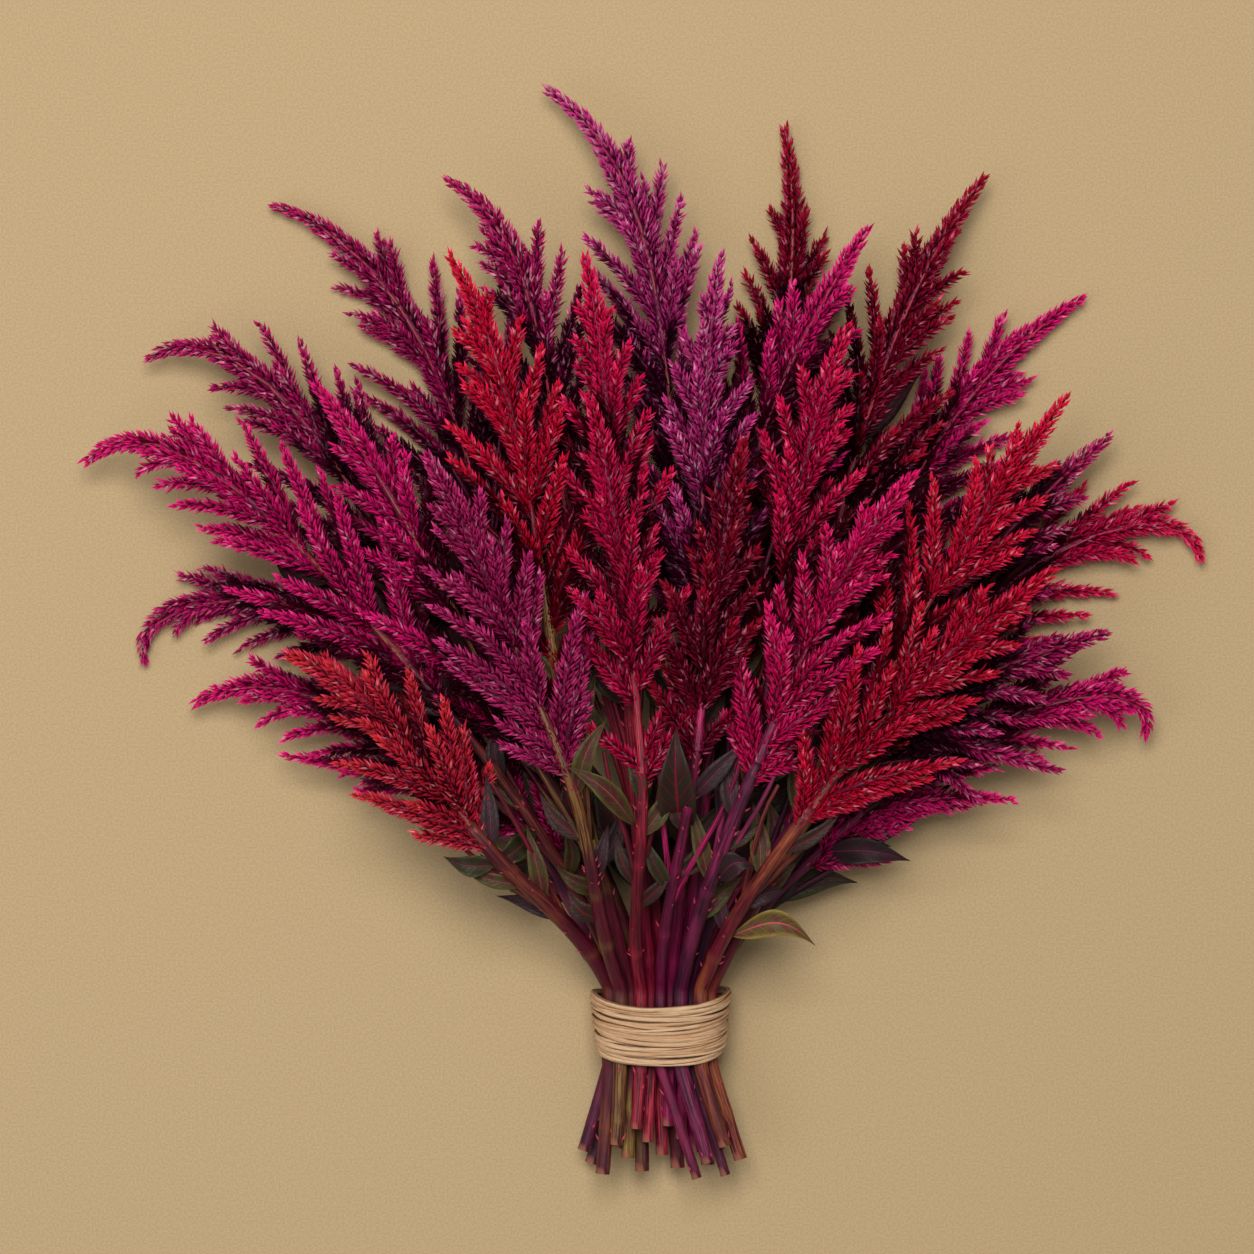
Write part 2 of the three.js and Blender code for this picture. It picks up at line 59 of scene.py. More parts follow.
def srgb(red: float, green: float, blue: float) -> Colour:
    """Turns a colour as a screen shows it, 0 to 255, into linear light.

    Args:
        red: Red, 0 to 255.
        green: Green, 0 to 255.
        blue: Blue, 0 to 255.

    Returns:
        The linear colour, each part 0 to 1.
    """
    def linear(part: float) -> float:
        """Linear value of one part."""
        share = part / 255.0
        return share / 12.92 if share <= 0.04045 else ((share + 0.055) / 1.055) ** 2.4
    return linear(red), linear(green), linear(blue)


def vary(seed: float, step: float) -> float:
    """Evenly scattered value between -1 and 1 for the step of a seed.

    Args:
        seed: Number of the plume or stem.
        step: Which of its values is wanted.

    Returns:
        The value.
    """
    return 2.0 * ((seed * 0.7548777 + step * 0.6180340) % 1.0) - 1.0


def hand(step: int) -> float:
    """1 or -1 by turns, for the side that something grows on."""
    return 1.0 if step % 2 else -1.0


def smooth(share: Array) -> Array:
    """Eases 0 to 1 in and out."""
    return share * share * (3.0 - 2.0 * share)


def unit(vectors: Array) -> Array:
    """Scales each row to a length of 1."""
    return vectors / np.maximum(np.linalg.norm(vectors, axis=-1, keepdims=True), 1e-12)


def heading(degrees: float) -> Array:
    """Unit vector on a heading in degrees clockwise from +Y, level with the table."""
    angle = math.radians(degrees)
    return np.array([math.sin(angle), math.cos(angle), 0.0])


def hermite(start: Array, leave: Array, end: Array, arrive: Array, share: Array) -> Array:
    """Points on the smooth curve between two ends.

    Args:
        start: First end.
        leave: Pull at the first end.
        end: Second end.
        arrive: Pull at the second end.
        share: Where along the curve, 0 to 1.

    Returns:
        One row for each share.
    """
    t = share[:, None]
    square = t * t
    cube = square * t
    return (start * (2 * cube - 3 * square + 1) + leave * (cube - 2 * square + t)
            + end * (3 * square - 2 * cube) + arrive * (cube - square))


def columns(*values: Union[float, Array]) -> Array:
    """Sets values side by side, each one number or one a row."""
    return np.stack(np.broadcast_arrays(*values), axis=-1)


def put_in_scene(name: str, data: bpy.types.ID) -> bpy.types.Object:
    """Adds an object to the scene.

    Args:
        name: Its name.
        data: Its mesh, lamp or camera.

    Returns:
        The object, at the origin.
    """
    made = bpy.data.objects.new(name, data)
    bpy.context.scene.collection.objects.link(made)
    return made


@dataclass
class Frames:
    """Places on a course with the direction ahead and the two directions across it."""

    place: Array
    ahead: Array
    across: Array
    over: Array

    def outward(self, turn: Array) -> Array:
        """Directions away from the course, by their turn round it."""
        return self.across * np.cos(turn)[:, None] + self.over * np.sin(turn)[:, None]

    def beside(self, x: Array, y: Array) -> Array:
        """Places at distances from the course, x across it and y over it."""
        return self.place + self.across * x[:, None] + self.over * y[:, None]


class Course:
    """A smooth line through space, measured by its own length."""

    def __init__(self, points: Array) -> None:
        """Keeps the points and their distance from the start.

        Args:
            points: Closely spaced points on the line, in metres.
        """
        self.points = points
        steps = np.linalg.norm(np.diff(points, axis=0), axis=1)
        self.marks = np.concatenate([[0.0], np.cumsum(steps)])
        self.length = float(self.marks[-1])

    def at(self, share: Array) -> Array:
        """Places at shares of the length, going straight on past either end.

        Args:
            share: Shares of the length.

        Returns:
            One place a share.
        """
        inside = np.clip(share, 0.0, 1.0) * self.length
        place = np.stack([np.interp(inside, self.marks, self.points[:, k]) for k in range(3)], axis=1)
        before = unit(self.points[1] - self.points[0])
        after = unit(self.points[-1] - self.points[-2])
        place = place + before * (np.minimum(share, 0.0) * self.length)[:, None]
        return place + after * (np.maximum(share - 1.0, 0.0) * self.length)[:, None]

    def frames(self, share: Array) -> Frames:
        """Places and directions on the line.

        Args:
            share: Shares of the length.

        Returns:
            One frame a share.
        """
        step = 0.012
        ahead = unit(self.at(share + step) - self.at(share - step))
        across = unit(np.cross(UP, ahead))
        return Frames(self.at(share), ahead, across, np.cross(ahead, across))


@dataclass
class Stock:
    """A shape modelled once: its corners and its faces."""

    corners: Array
    faces: list[tuple[int, ...]]

    def even_faces(self) -> list[Array]:
        """Groups the faces by how many corners they have.

        Returns:
            One array of faces for each number of corners.
        """
        groups: dict[int, list[tuple[int, ...]]] = {}
        for face in self.faces:
            groups.setdefault(len(face), []).append(face)
        return [np.array(faces) for faces in groups.values()]


class Part(Enum):
    """What is picked in edit mode, with its name in a mesh."""

    CORNER = "vertices"
    EDGE = "edges"
    FACE = "polygons"


class Workbench:
    """Models stock shapes with Blender's own tools and takes them off the scene again."""

    @staticmethod
    def clear_selection() -> None:
        """Leaves edit mode and deselects every object."""
        if bpy.context.mode != "OBJECT":
            bpy.ops.object.mode_set(mode="OBJECT")
        bpy.ops.object.select_all(action="DESELECT")

    @staticmethod
    def edit(part: Part) -> None:
        """Enters edit mode with nothing selected.

        Args:
            part: What is to be picked there.
        """
        bpy.ops.object.mode_set(mode="EDIT")
        bpy.context.tool_settings.mesh_select_mode = tuple(part is kind for kind in Part)
        bpy.ops.mesh.select_all(action="DESELECT")

    @classmethod
    def pick(cls, part: Part, is_wanted: Callable[[bpy.types.Mesh, bpy.types.bpy_struct], bool]) -> None:
        """Selects some of the active mesh by its place, and stays in edit mode.

        Args:
            part: What is picked.
            is_wanted: Whether one of them is wanted.
        """
        cls.edit(part)
        bpy.ops.object.mode_set(mode="OBJECT")
        mesh = bpy.context.active_object.data
        for item in getattr(mesh, part.value):
            item.select = is_wanted(mesh, item)
        bpy.ops.object.mode_set(mode="EDIT")

    @classmethod
    def squeeze(cls, x: float, y: float) -> None:
        """Scales what is selected about the Z axis."""
        bpy.ops.transform.resize(value=(x, y, 1), center_override=(0, 0, 0))

    @staticmethod
    def face_out() -> None:
        """Turns all faces of the edited mesh outwards."""
        bpy.ops.mesh.select_all(action="SELECT")
        bpy.ops.mesh.normals_make_consistent(inside=False)

    @staticmethod
    def take() -> Stock:
        """Takes the active object's mesh off the scene.

        Returns:
            The mesh as stock.
        """
        if bpy.context.mode != "OBJECT":
            bpy.ops.object.mode_set(mode="OBJECT")
        model = bpy.context.active_object
        bpy.ops.object.transform_apply(location=True, rotation=True, scale=True)
        mesh = model.data
        corners = np.array([corner.co[:] for corner in mesh.vertices])
        faces = sorted(tuple(face.vertices) for face in mesh.polygons)
        bpy.data.objects.remove(model)
        bpy.data.meshes.remove(mesh)
        return Stock(corners, faces)

    @classmethod
    def floret(cls, sides: int, belly: float, flatness: float) -> Stock:
        """Models one floret, 1 long and 1 wide, with its foot at the origin and its tip on +Z.

        Args:
            sides: Sides of the floret.
            belly: Share of the length at which it is widest.
            flatness: Thickness as a share of the width.

        Returns:
            The floret.
        """
        cls.clear_selection()
        top = 1.0 - belly
        bpy.ops.mesh.primitive_cone_add(vertices=sides, radius1=0.5, radius2=0.0, depth=top,
                                        end_fill_type="NOTHING", location=(0, 0, belly + top / 2))
        cls.edit(Part.EDGE)
        bpy.ops.mesh.select_non_manifold()
        bpy.ops.mesh.extrude_region_move(TRANSFORM_OT_translate={"value": (0, 0, -belly)})
        bpy.ops.mesh.merge(type="CENTER")
        bpy.ops.mesh.select_all(action="SELECT")
        cls.squeeze(1, flatness)
        cls.face_out()
        return cls.take()

    @classmethod
    def rod(cls, sides: int, stations: int, rib_depth: float = 0.0, rim: float = 0.0) -> Stock:
        """Models a round rod from z 0 to z 1 with a radius of 1, ribbed along its length.

        Args:
            sides: Sides of the rod.
            stations: Cuts along its length.
            rib_depth: How far every second line of corners is drawn in.
            rim: Width of the bevel round both ends, 0 for none.

        Returns:
            The rod.
        """
        cls.clear_selection()
        bpy.ops.mesh.primitive_cylinder_add(vertices=sides, radius=1.0, depth=1.0,
                                            end_fill_type="NGON", location=(0, 0, 0.5))

        def is_long(mesh: bpy.types.Mesh, edge: bpy.types.MeshEdge) -> bool:
            """Whether an edge runs along the rod."""
            low, high = (mesh.vertices[i].co.z for i in edge.vertices)
            return abs(high - low) > 0.5

        def is_hollow(_: bpy.types.Mesh, corner: bpy.types.MeshVertex) -> bool:
            """Whether a corner is on every second line."""
            return round(math.atan2(corner.co.y, corner.co.x) / TURN * sides) % 2 == 0
        cls.pick(Part.EDGE, is_long)
        bpy.ops.mesh.subdivide(number_cuts=stations)
        if rib_depth > 0.0:
            cls.pick(Part.CORNER, is_hollow)
            cls.squeeze(1.0 - rib_depth, 1.0 - rib_depth)
        if rim > 0.0:
            cls.pick(Part.FACE, lambda _, face: abs(face.normal.z) > 0.9)
            bpy.ops.mesh.inset(thickness=rim, depth=0.0)
        cls.face_out()
        return cls.take()

    @classmethod
    def slab(cls, long_cells: int, cross_cells: int) -> Stock:
        """Models a thin closed slab, x -1 to 1 across, y 0 to 1 along and 1 thick.

        Args:
            long_cells: Cells along it.
            cross_cells: Cells across it.

        Returns:
            The slab.
        """
        cls.clear_selection()
        bpy.ops.mesh.primitive_grid_add(x_subdivisions=cross_cells, y_subdivisions=long_cells, size=2.0)
        cls.edit(Part.CORNER)
        bpy.ops.mesh.select_all(action="SELECT")
        cls.squeeze(1, 0.5)
        bpy.ops.transform.translate(value=(0, 0.5, 0))
        bpy.ops.object.mode_set(mode="OBJECT")
        wall = bpy.context.active_object.modifiers.new("wall", "SOLIDIFY")
        wall.thickness = 1.0
        wall.offset = 0.0
        bpy.ops.object.modifier_apply(modifier=wall.name)
        return cls.take()


@dataclass
class Patch:
    """Some faces with the values that their finish reads at each corner."""

    corners: Array
    faces: Array
    marks: Array
    rest: Array
    slot: int = 0
    is_smooth: bool = True


class Piece:
    """A finished part of the bunch, gathered from patches into one mesh."""

    def __init__(self, name: str, record_slot: str, node: str) -> None:
        """Starts an empty piece.

        Args:
            name: The piece's name.
            record_slot: The material slot of the record that it stands for; stored, but not used.
            node: The solid that it stands for.
        """
        self.name = name
        self.record_slot = record_slot
        self.node = node
        self.patches: list[Patch] = []
        self.materials: list[bpy.types.Material] = []

    def slot_for(self, material: bpy.types.Material) -> int:
        """Finds the slot of a material, and gives it one where it has none yet.

        Args:
            material: The material.

        Returns:
            The number of its slot.
        """
        if material not in self.materials:
            self.materials.append(material)
        return self.materials.index(material)

    def add(self, *patches: Patch) -> None:
        """Adds patches."""
        self.patches.extend(patches)

    def each_face(self, read: Callable[[Patch], int]) -> Array:
        """Reads a value of each patch, once for each of its faces."""
        return np.concatenate([np.full(len(patch.faces), read(patch)) for patch in self.patches])

    def finish(self) -> None:
        """Makes the mesh, gives it its finishes and puts it in the scene, at the origin."""
        starts = np.cumsum([0] + [len(patch.corners) for patch in self.patches])
        corners = np.concatenate([patch.corners for patch in self.patches])
        corners[:, 2] = np.maximum(corners[:, 2], FLOOR_ROOM)
        loops = np.concatenate([(patch.faces + start).ravel()
                                for patch, start in zip(self.patches, starts)])
        sizes = self.each_face(lambda patch: patch.faces.shape[1])
        mesh = bpy.data.meshes.new(self.name)
        mesh.vertices.add(len(corners))
        mesh.vertices.foreach_set("co", corners.astype(np.float32).ravel())
        mesh.loops.add(len(loops))
        mesh.loops.foreach_set("vertex_index", loops.astype(np.int32))
        mesh.polygons.add(len(sizes))
        mesh.polygons.foreach_set("loop_start", (np.cumsum(sizes) - sizes).astype(np.int32))
        slots = self.each_face(lambda patch: patch.slot)
        mesh.polygons.foreach_set("material_index", slots.astype(np.int32))
        mesh.polygons.foreach_set("use_smooth", self.each_face(lambda patch: patch.is_smooth))
        mesh.update(calc_edges=True)
        for name, kind, field_name in (("marks", "FLOAT_COLOR", "color"), ("rest", "FLOAT_VECTOR", "vector")):
            values = np.concatenate([getattr(patch, name) for patch in self.patches])
            layer = mesh.attributes.new(name, kind, "POINT")
            layer.data.foreach_set(field_name, values.astype(np.float32).ravel())
        for material in self.materials:
            mesh.materials.append(material)
        mesh.validate()
        piece = put_in_scene(self.name, mesh)
        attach(piece, "root")
        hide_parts(self.node)
        log.info("%s: %d corners, %d faces", self.name, len(corners), len(sizes))


Number = Union["Wire", float]


class Wire:
    """One output of a shader node, so that maths on it reads as an expression."""

    def __init__(self, board: "Board", socket: bpy.types.NodeSocket) -> None:
        """Keeps the board and the socket.

        Args:
            board: The board of the material.
            socket: The output.
        """
        self.board = board
        self.socket = socket

    def _maths(self, operation: str, first: Number, second: Number) -> "Wire":
        """Adds a Math node.

        Args:
            operation: Which maths.
            first: First value.
            second: Second value.

        Returns:
            Its output.
        """
        node = self.board.node("ShaderNodeMath", {"operation": operation}, {0: first, 1: second})
        return Wire(self.board, node.outputs[0])

    def __add__(self, other: Number) -> "Wire":
        """self + other."""
        return self._maths("ADD", self, other)

    __radd__ = __add__

    def __sub__(self, other: Number) -> "Wire":
        """self - other."""
        return self._maths("SUBTRACT", self, other)

    def __rsub__(self, other: Number) -> "Wire":
        """other - self."""
        return self._maths("SUBTRACT", other, self)

    def __mul__(self, other: Number) -> "Wire":
        """self * other."""
        return self._maths("MULTIPLY", self, other)

    __rmul__ = __mul__

    def high(self, other: Number) -> "Wire":
        """The larger of the two."""
        return self._maths("MAXIMUM", self, other)

    def wave(self) -> "Wire":
        """Sine."""
        return self._maths("SINE", self, 0.0)

    def size(self) -> "Wire":
        """Value without its sign."""
        return self._maths("ABSOLUTE", self, 0.0)

    def between(self, low: float, high: float) -> "Wire":
        """Goes smoothly from 0 to 1 as this value goes from low to high.

        Args:
            low: Where it starts.
            high: Where it is 1.

        Returns:
            The eased value.
        """
        node = self.board.node("ShaderNodeMapRange", {"interpolation_type": "SMOOTHSTEP"},
                               {"Value": self, "From Min": low, "From Max": high})
        return Wire(self.board, node.outputs[0])


class Board:
    """The node tree of one material."""

    def __init__(self, name: str) -> None:
        """Makes a material with an empty tree.

        Args:
            name: Its name.
        """
        self.material = bpy.data.materials.new(name)
        self.material.use_nodes = True
        self.tree = self.material.node_tree
        self.tree.nodes.clear()

    def node(self, kind: str, settings: dict, values: dict) -> bpy.types.Node:
        """Adds a node.

        Args:
            kind: Its type.
            settings: Its own settings, set first.
            values: A value or wire for each input, by name or number.

        Returns:
            The node.
        """
        made = self.tree.nodes.new(kind)
        for key, value in settings.items():
            setattr(made, key, value)
        for key, value in values.items():
            if isinstance(value, Wire):
                self.tree.links.new(value.socket, made.inputs[key])
            else:
                made.inputs[key].default_value = value
        return made

    def output(self, kind: str, settings: dict, values: dict, name: Union[str, int] = 0) -> Wire:
        """Adds a node and gives one of its outputs.

        Args:
            kind: Its type.
            settings: Its own settings.
            values: Its inputs.
            name: Which output.

        Returns:
            The output.
        """
        return Wire(self, self.node(kind, settings, values).outputs[name])

    def marks(self) -> tuple[Wire, Wire, Wire, Wire]:
        """The four values that each corner carries.

        Returns:
            The four values, in order.
        """
        read = self.node("ShaderNodeAttribute", {"attribute_name": "marks"}, {})
        parts = self.node("ShaderNodeSeparateColor", {}, {"Color": Wire(self, read.outputs["Color"])})
        return (*(Wire(self, parts.outputs[k]) for k in range(3)), Wire(self, read.outputs["Alpha"]))

    def rest(self, scale: Sequence[float] = (1.0, 1.0, 1.0)) -> Wire:
        """Place on the shape before it was bent, scaled on each axis."""
        read = self.output("ShaderNodeAttribute", {"attribute_name": "rest"}, {}, "Vector")
        return self.output("ShaderNodeVectorMath", {"operation": "MULTIPLY"}, {0: read, 1: tuple(scale)})

    def noise(self, place: Wire, scale: float, detail: float = 2.0, roughness: float = 0.5) -> Wire:
        """Soft random pattern, 0 to 1.

        Args:
            place: Where it is read.
            scale: Its fineness.
            detail: How many finer layers it has.
            roughness: How strong those are.

        Returns:
            The pattern.
        """
        return self.output("ShaderNodeTexNoise", {"noise_dimensions": "3D"},
                           {"Vector": place, "Scale": scale, "Detail": detail, "Roughness": roughness})

    def mix(self, share: Number, first: Union[Wire, Colour], second: Union[Wire, Colour]) -> Wire:
        """Mixes two colours.

        Args:
            share: Share of the second.
            first: First colour.
            second: Second colour.

        Returns:
            The mixture.
        """
        def paint(colour: Union[Wire, Colour]) -> Union[Wire, tuple[float, ...]]:
            """Adds an alpha of 1 to a plain colour."""
            return colour if isinstance(colour, Wire) else (*colour, 1.0)
        return self.output("ShaderNodeMix", {"data_type": "RGBA"},
                           {0: share, 6: paint(first), 7: paint(second)}, 2)

    def bump(self, height: Wire, depth: float, strength: float = 1.0) -> Wire:
        """Surface relief.

        Args:
            height: Height pattern, 0 to 1.
            depth: Height of the relief in metres.
            strength: How much of it shows.

        Returns:
            The bent normal.
        """
        return self.output("ShaderNodeBump", {}, {"Strength": strength, "Distance": depth, "Height": height})

    def surface(self, colour: Union[Wire, Colour], roughness: Number, normal: Optional[Wire] = None,
                **constants: float) -> bpy.types.Material:
        """Adds the shader and the output.

        Args:
            colour: Base colour.
            roughness: Roughness.
            normal: Bent normal.
            **constants: Other inputs that are the same all over, with _ for a space.

        Returns:
            The finished material.
        """
        values = {key.replace("_", " "): value for key, value in constants.items()}
        values["Base Color"] = colour if isinstance(colour, Wire) else (*colour, 1.0)
        values["Roughness"] = roughness
        if normal is not None:
            values["Normal"] = normal
        shader = self.node("ShaderNodeBsdfPrincipled", {}, values)
        self.node("ShaderNodeOutputMaterial", {}, {"Surface": Wire(self, shader.outputs["BSDF"])})
        return self.material


class Tint(Enum):
    """Named colours of the flower heads."""

    CRIMSON = "crimson"
    RED = "red"
    MAGENTA = "magenta"
    PINK = "pink"
    PLUM = "plum"
    VIOLET = "violet"
    MAUVE = "mauve"
    WINE = "wine"
    ORANGE = "orange"


class StemTint(Enum):
    """Named colours of the stems."""

    RED = "red"
    MAGENTA = "magenta"
    MAROON = "maroon"
    RUST = "rust"
    OLIVE = "olive"


@dataclass(frozen=True)
class FloretFinish:
    """Glossy floret, darker at its foot and brighter at its tip, with pale streaks.

    The hollow colour is painted shade at each floret's foot, between florets and on deep florets. The tip
    colour is partly the florets' own paler tips and partly painted highlight. The streak colour is painted
    highlight on paler floret edges. The crest colour at the end of a spike is partly its own brighter tip
    and partly painted light where the ends lie less shaded.
    """

    hollow: Colour
    body: Colour
    tip: Colour
    streak: Colour
    crest: Colour
    crest_share: float = 0.55
    streak_share: float = 0.85
    gloss: float = 0.42
    gloss_tint: tuple[float, float, float, float] = (1.0, 0.22, 0.46, 1.0)

    def material(self, name: str) -> bpy.types.Material:
        """Builds the finish.

        Args:
            name: Its name.

        Returns:
            The material.
        """
        board = Board(name)
        along, shade, pale, up = board.marks()
        place = board.rest()
        patch = board.noise(place, 38.0, 2.0)
        # Florets with a low shade value turn towards the hollow colour, which is painted shade for the deep
        # ones.
        body = board.mix(shade.between(0.0, 0.85), self.hollow, self.body)
        body = board.mix(patch.between(0.45, 0.8) * shade * 0.3, body, self.tip)
        # Each spike's end turns to the crest colour: partly its own redder tip, partly painted light where
        # the ends lie less shaded.
        body = board.mix(up.between(0.68, 1.0) * shade * self.crest_share, body, self.crest)
        # Painted shade: each floret darkens to the hollow colour at its foot, where it sits between the
        # others.
        colour = board.mix(along.between(-0.2, 0.5), self.hollow, body)
        # Brighter towards each floret's tip and the end of its spike: partly the florets' own paler tips,
        # partly painted highlight, kept off deep florets.
        bright = along.between(0.2, 0.85) * (0.45 + 0.55 * up) * shade.between(0.3, 1.0)
        colour = board.mix(bright, colour, self.tip)
        # Pale streaks on the flanks of some florets: partly their paler edges, partly painted highlight.
        colour = board.mix(pale * shade * self.streak_share, colour, self.streak)
        wrinkle = board.noise(place, 900.0, 1.0)
        roughness = 0.38 - 0.14 * pale - 0.08 * wrinkle
        return board.surface(colour, roughness, board.bump(wrinkle, 0.25 * MM, 0.5),
                             Specular_IOR_Level=self.gloss, Specular_Tint=self.gloss_tint)


# Colours in order: hollow (painted shade), body, tip (partly painted highlight), streak (painted highlight on
# paler edges) and crest (partly painted light).
FLORET_FINISHES: dict[Tint, FloretFinish] = {
    Tint.CRIMSON: FloretFinish(
        srgb(38, 0, 7), srgb(120, 0, 28), srgb(242, 26, 98), srgb(255, 166, 192),
        srgb(214, 20, 66)),
    Tint.RED: FloretFinish(
        srgb(44, 0, 6), srgb(138, 0, 24), srgb(238, 28, 76), srgb(255, 180, 192),
        srgb(226, 28, 52)),
    Tint.MAGENTA: FloretFinish(
        srgb(38, 0, 14), srgb(124, 0, 48), srgb(248, 34, 138), srgb(255, 178, 212),
        srgb(204, 14, 98)),
    Tint.PINK: FloretFinish(
        srgb(48, 0, 14), srgb(150, 0, 46), srgb(255, 34, 134), srgb(255, 184, 212),
        srgb(224, 18, 92)),
    Tint.PLUM: FloretFinish(
        srgb(28, 0, 13), srgb(88, 0, 40), srgb(210, 34, 116), srgb(255, 196, 214),
        srgb(150, 14, 78)),
    Tint.VIOLET: FloretFinish(
        srgb(32, 0, 17), srgb(102, 1, 54), srgb(226, 66, 152), srgb(252, 200, 226),
        srgb(172, 34, 112)),
    Tint.MAUVE: FloretFinish(
        srgb(34, 0, 14), srgb(110, 1, 46), srgb(230, 60, 142), srgb(252, 194, 218),
        srgb(176, 30, 104)),
    Tint.WINE: FloretFinish(
        srgb(20, 0, 4), srgb(66, 0, 14), srgb(164, 10, 50), srgb(246, 150, 172),
        srgb(206, 24, 52)),
    Tint.ORANGE: FloretFinish(
        srgb(40, 0, 6), srgb(116, 2, 26), srgb(232, 54, 76), srgb(255, 184, 184),
        srgb(228, 58, 50)),
}


@dataclass(frozen=True)
class StemFinish:
    """Ribbed juicy stem with lengthwise streaks, pale bracts and a pale cut end."""

    body: Colour
    dark: Colour
    light: Colour
    cut: Colour = srgb(178, 112, 92)
    bract: Colour = srgb(206, 70, 96)
    gloss: float = 0.35

    def material(self, name: str) -> bpy.types.Material:
        """Builds the finish.

        Args:
            name: Its name.

        Returns:
            The material.
        """
        board = Board(name)
        bract, cut, joint, tone = board.marks()
        streaks = board.noise(board.rest((1.0, 1.0, 0.03)), 1500.0, 3.0, 0.65)
        blotch = board.noise(board.rest((1.0, 1.0, 0.2)), 110.0, 3.0)
        flush = board.noise(board.rest((0.1, 0.1, 1.0)), 14.0, 1.0)
        colour = board.mix(streaks.between(0.36, 0.6), self.dark, self.body)
        colour = board.mix(flush.between(0.42, 0.6) * streaks.between(0.4, 0.7), colour, self.light)
        colour = board.mix(blotch.between(0.56, 0.72) * 0.45, colour, self.light)
        colour = board.mix(blotch.between(0.48, 0.34) * 0.6, colour, self.dark)
        colour = board.mix(tone.between(0.8, 0.0) * 0.65, colour, self.dark)
        colour = board.mix(joint * 0.2, colour, self.light)
        colour = board.mix(bract, colour, self.bract)
        colour = board.mix(cut, colour, self.cut)
        roughness = 0.34 + 0.22 * streaks + 0.2 * cut
        return board.surface(colour, roughness, board.bump(streaks, 0.5 * MM, 0.8),
                             Specular_IOR_Level=self.gloss)


STEM_FINISHES: dict[StemTint, StemFinish] = {
    StemTint.RED: StemFinish(srgb(132, 6, 42), srgb(54, 3, 22), srgb(196, 52, 72)),
    StemTint.MAGENTA: StemFinish(srgb(132, 4, 62), srgb(54, 2, 34), srgb(192, 34, 104)),
    StemTint.MAROON: StemFinish(srgb(88, 8, 54), srgb(36, 4, 26), srgb(146, 40, 88)),
    StemTint.RUST: StemFinish(srgb(112, 14, 38), srgb(60, 4, 28), srgb(158, 88, 42)),
    StemTint.OLIVE: StemFinish(srgb(100, 20, 38), srgb(54, 5, 26), srgb(146, 122, 50)),
}


@dataclass(frozen=True)
class LeafFinish:
    """Leaf with a midrib, slanting side veins and a mottled blade."""

    blade: Colour
    mottle: Colour
    vein: Colour
    edge: Colour
    gloss: float = 0.24
    vein_count: float = 9.0

    def material(self, name: str) -> bpy.types.Material:
        """Builds the finish.

        Args:
            name: Its name.

        Returns:
            The material.
        """
        board = Board(name)
        across, along, _, _ = board.marks()
        side = (across * 2.0 - 1.0).size()
        rib = 1.0 - side.between(0.03, 0.12)
        ridge = ((along * self.vein_count - side * 1.6) * TURN).wave()
        vein = ridge.between(0.82, 1.0) * (1.0 - side.between(0.75, 1.0))
        patch = board.noise(board.rest((1.0, 1.0, 1.0)), 160.0, 3.0, 0.6)
        colour = board.mix(patch.between(0.42, 0.62), self.blade, self.mottle)
        colour = board.mix(side.between(0.55, 1.0) * 0.7, colour, self.edge)
        colour = board.mix(vein * 0.6, colour, self.vein)
        colour = board.mix(rib, colour, self.vein)
        height = vein.high(rib) * 0.7 + patch * 0.3
        return board.surface(colour, 0.42 + 0.2 * patch, board.bump(height, 0.5 * MM, 0.9),
                             Specular_IOR_Level=self.gloss)


@dataclass(frozen=True)
class RaffiaFinish:
    """Dry raffia with fine dark fibres along each strand, and painted shade along each strand's edges."""

    body: Colour = srgb(204, 158, 116)
    pale: Colour = srgb(238, 204, 166)
    gap: Colour = srgb(104, 58, 30)
    gloss: float = 0.25

    def material(self, name: str) -> bpy.types.Material:
        """Builds the finish.

        Args:
            name: Its name.

        Returns:
            The material.
        """
        board = Board(name)
        across, shade, _, _ = board.marks()
        fibre = board.noise(board.rest((1.0, 1.0, 0.03)), 2600.0, 3.0, 0.65)
        band = board.noise(board.rest((1.0, 1.0, 0.12)), 300.0, 2.0)
        colour = board.mix(shade * 0.8, self.body, self.pale)
        colour = board.mix(fibre.between(0.56, 0.4) * 0.3, colour, self.gap)
        colour = board.mix(band.between(0.5, 0.75) * 0.4, colour, self.pale)
        # Painted shade: each strand darkens towards its edges, where it meets the next.
        colour = board.mix((across * 2.0 - 1.0).size().between(0.5, 1.0) * 0.9, colour, self.gap)
        return board.surface(colour, 0.72 + 0.15 * fibre, board.bump(fibre, 0.5 * MM, 0.9),
                             Specular_IOR_Level=self.gloss)


@dataclass(frozen=True)
class TableFinish:
    """Plain pale paper-like table top."""

    body: Colour = srgb(197, 173, 134)
    grain: Colour = srgb(177, 151, 111)
    gloss: float = 0.2

    def material(self, name: str) -> bpy.types.Material:
        """Builds the finish.

        Args:
            name: Its name.

        Returns:
            The material.
        """
        board = Board(name)
        place = board.output("ShaderNodeTexCoord", {}, {}, "Object")
        grain = board.noise(place, 950.0, 2.0, 0.6)
        colour = board.mix(grain.between(0.35, 0.65) * 0.6, self.body, self.grain)
        return board.surface(colour, 0.85, board.bump(grain, 0.2 * MM, 0.4),
                             Specular_IOR_Level=self.gloss)


class LeafTint(Enum):
    """Named colours of the leaves."""

    STRIPED = "striped"
    DARK = "dark"
    OLIVE = "olive"
    PURPLE = "purple"
    GREEN = "green"
    # Near-black leaves under the lower plumes, coloured as painted shade.
    SHADED = "shaded"


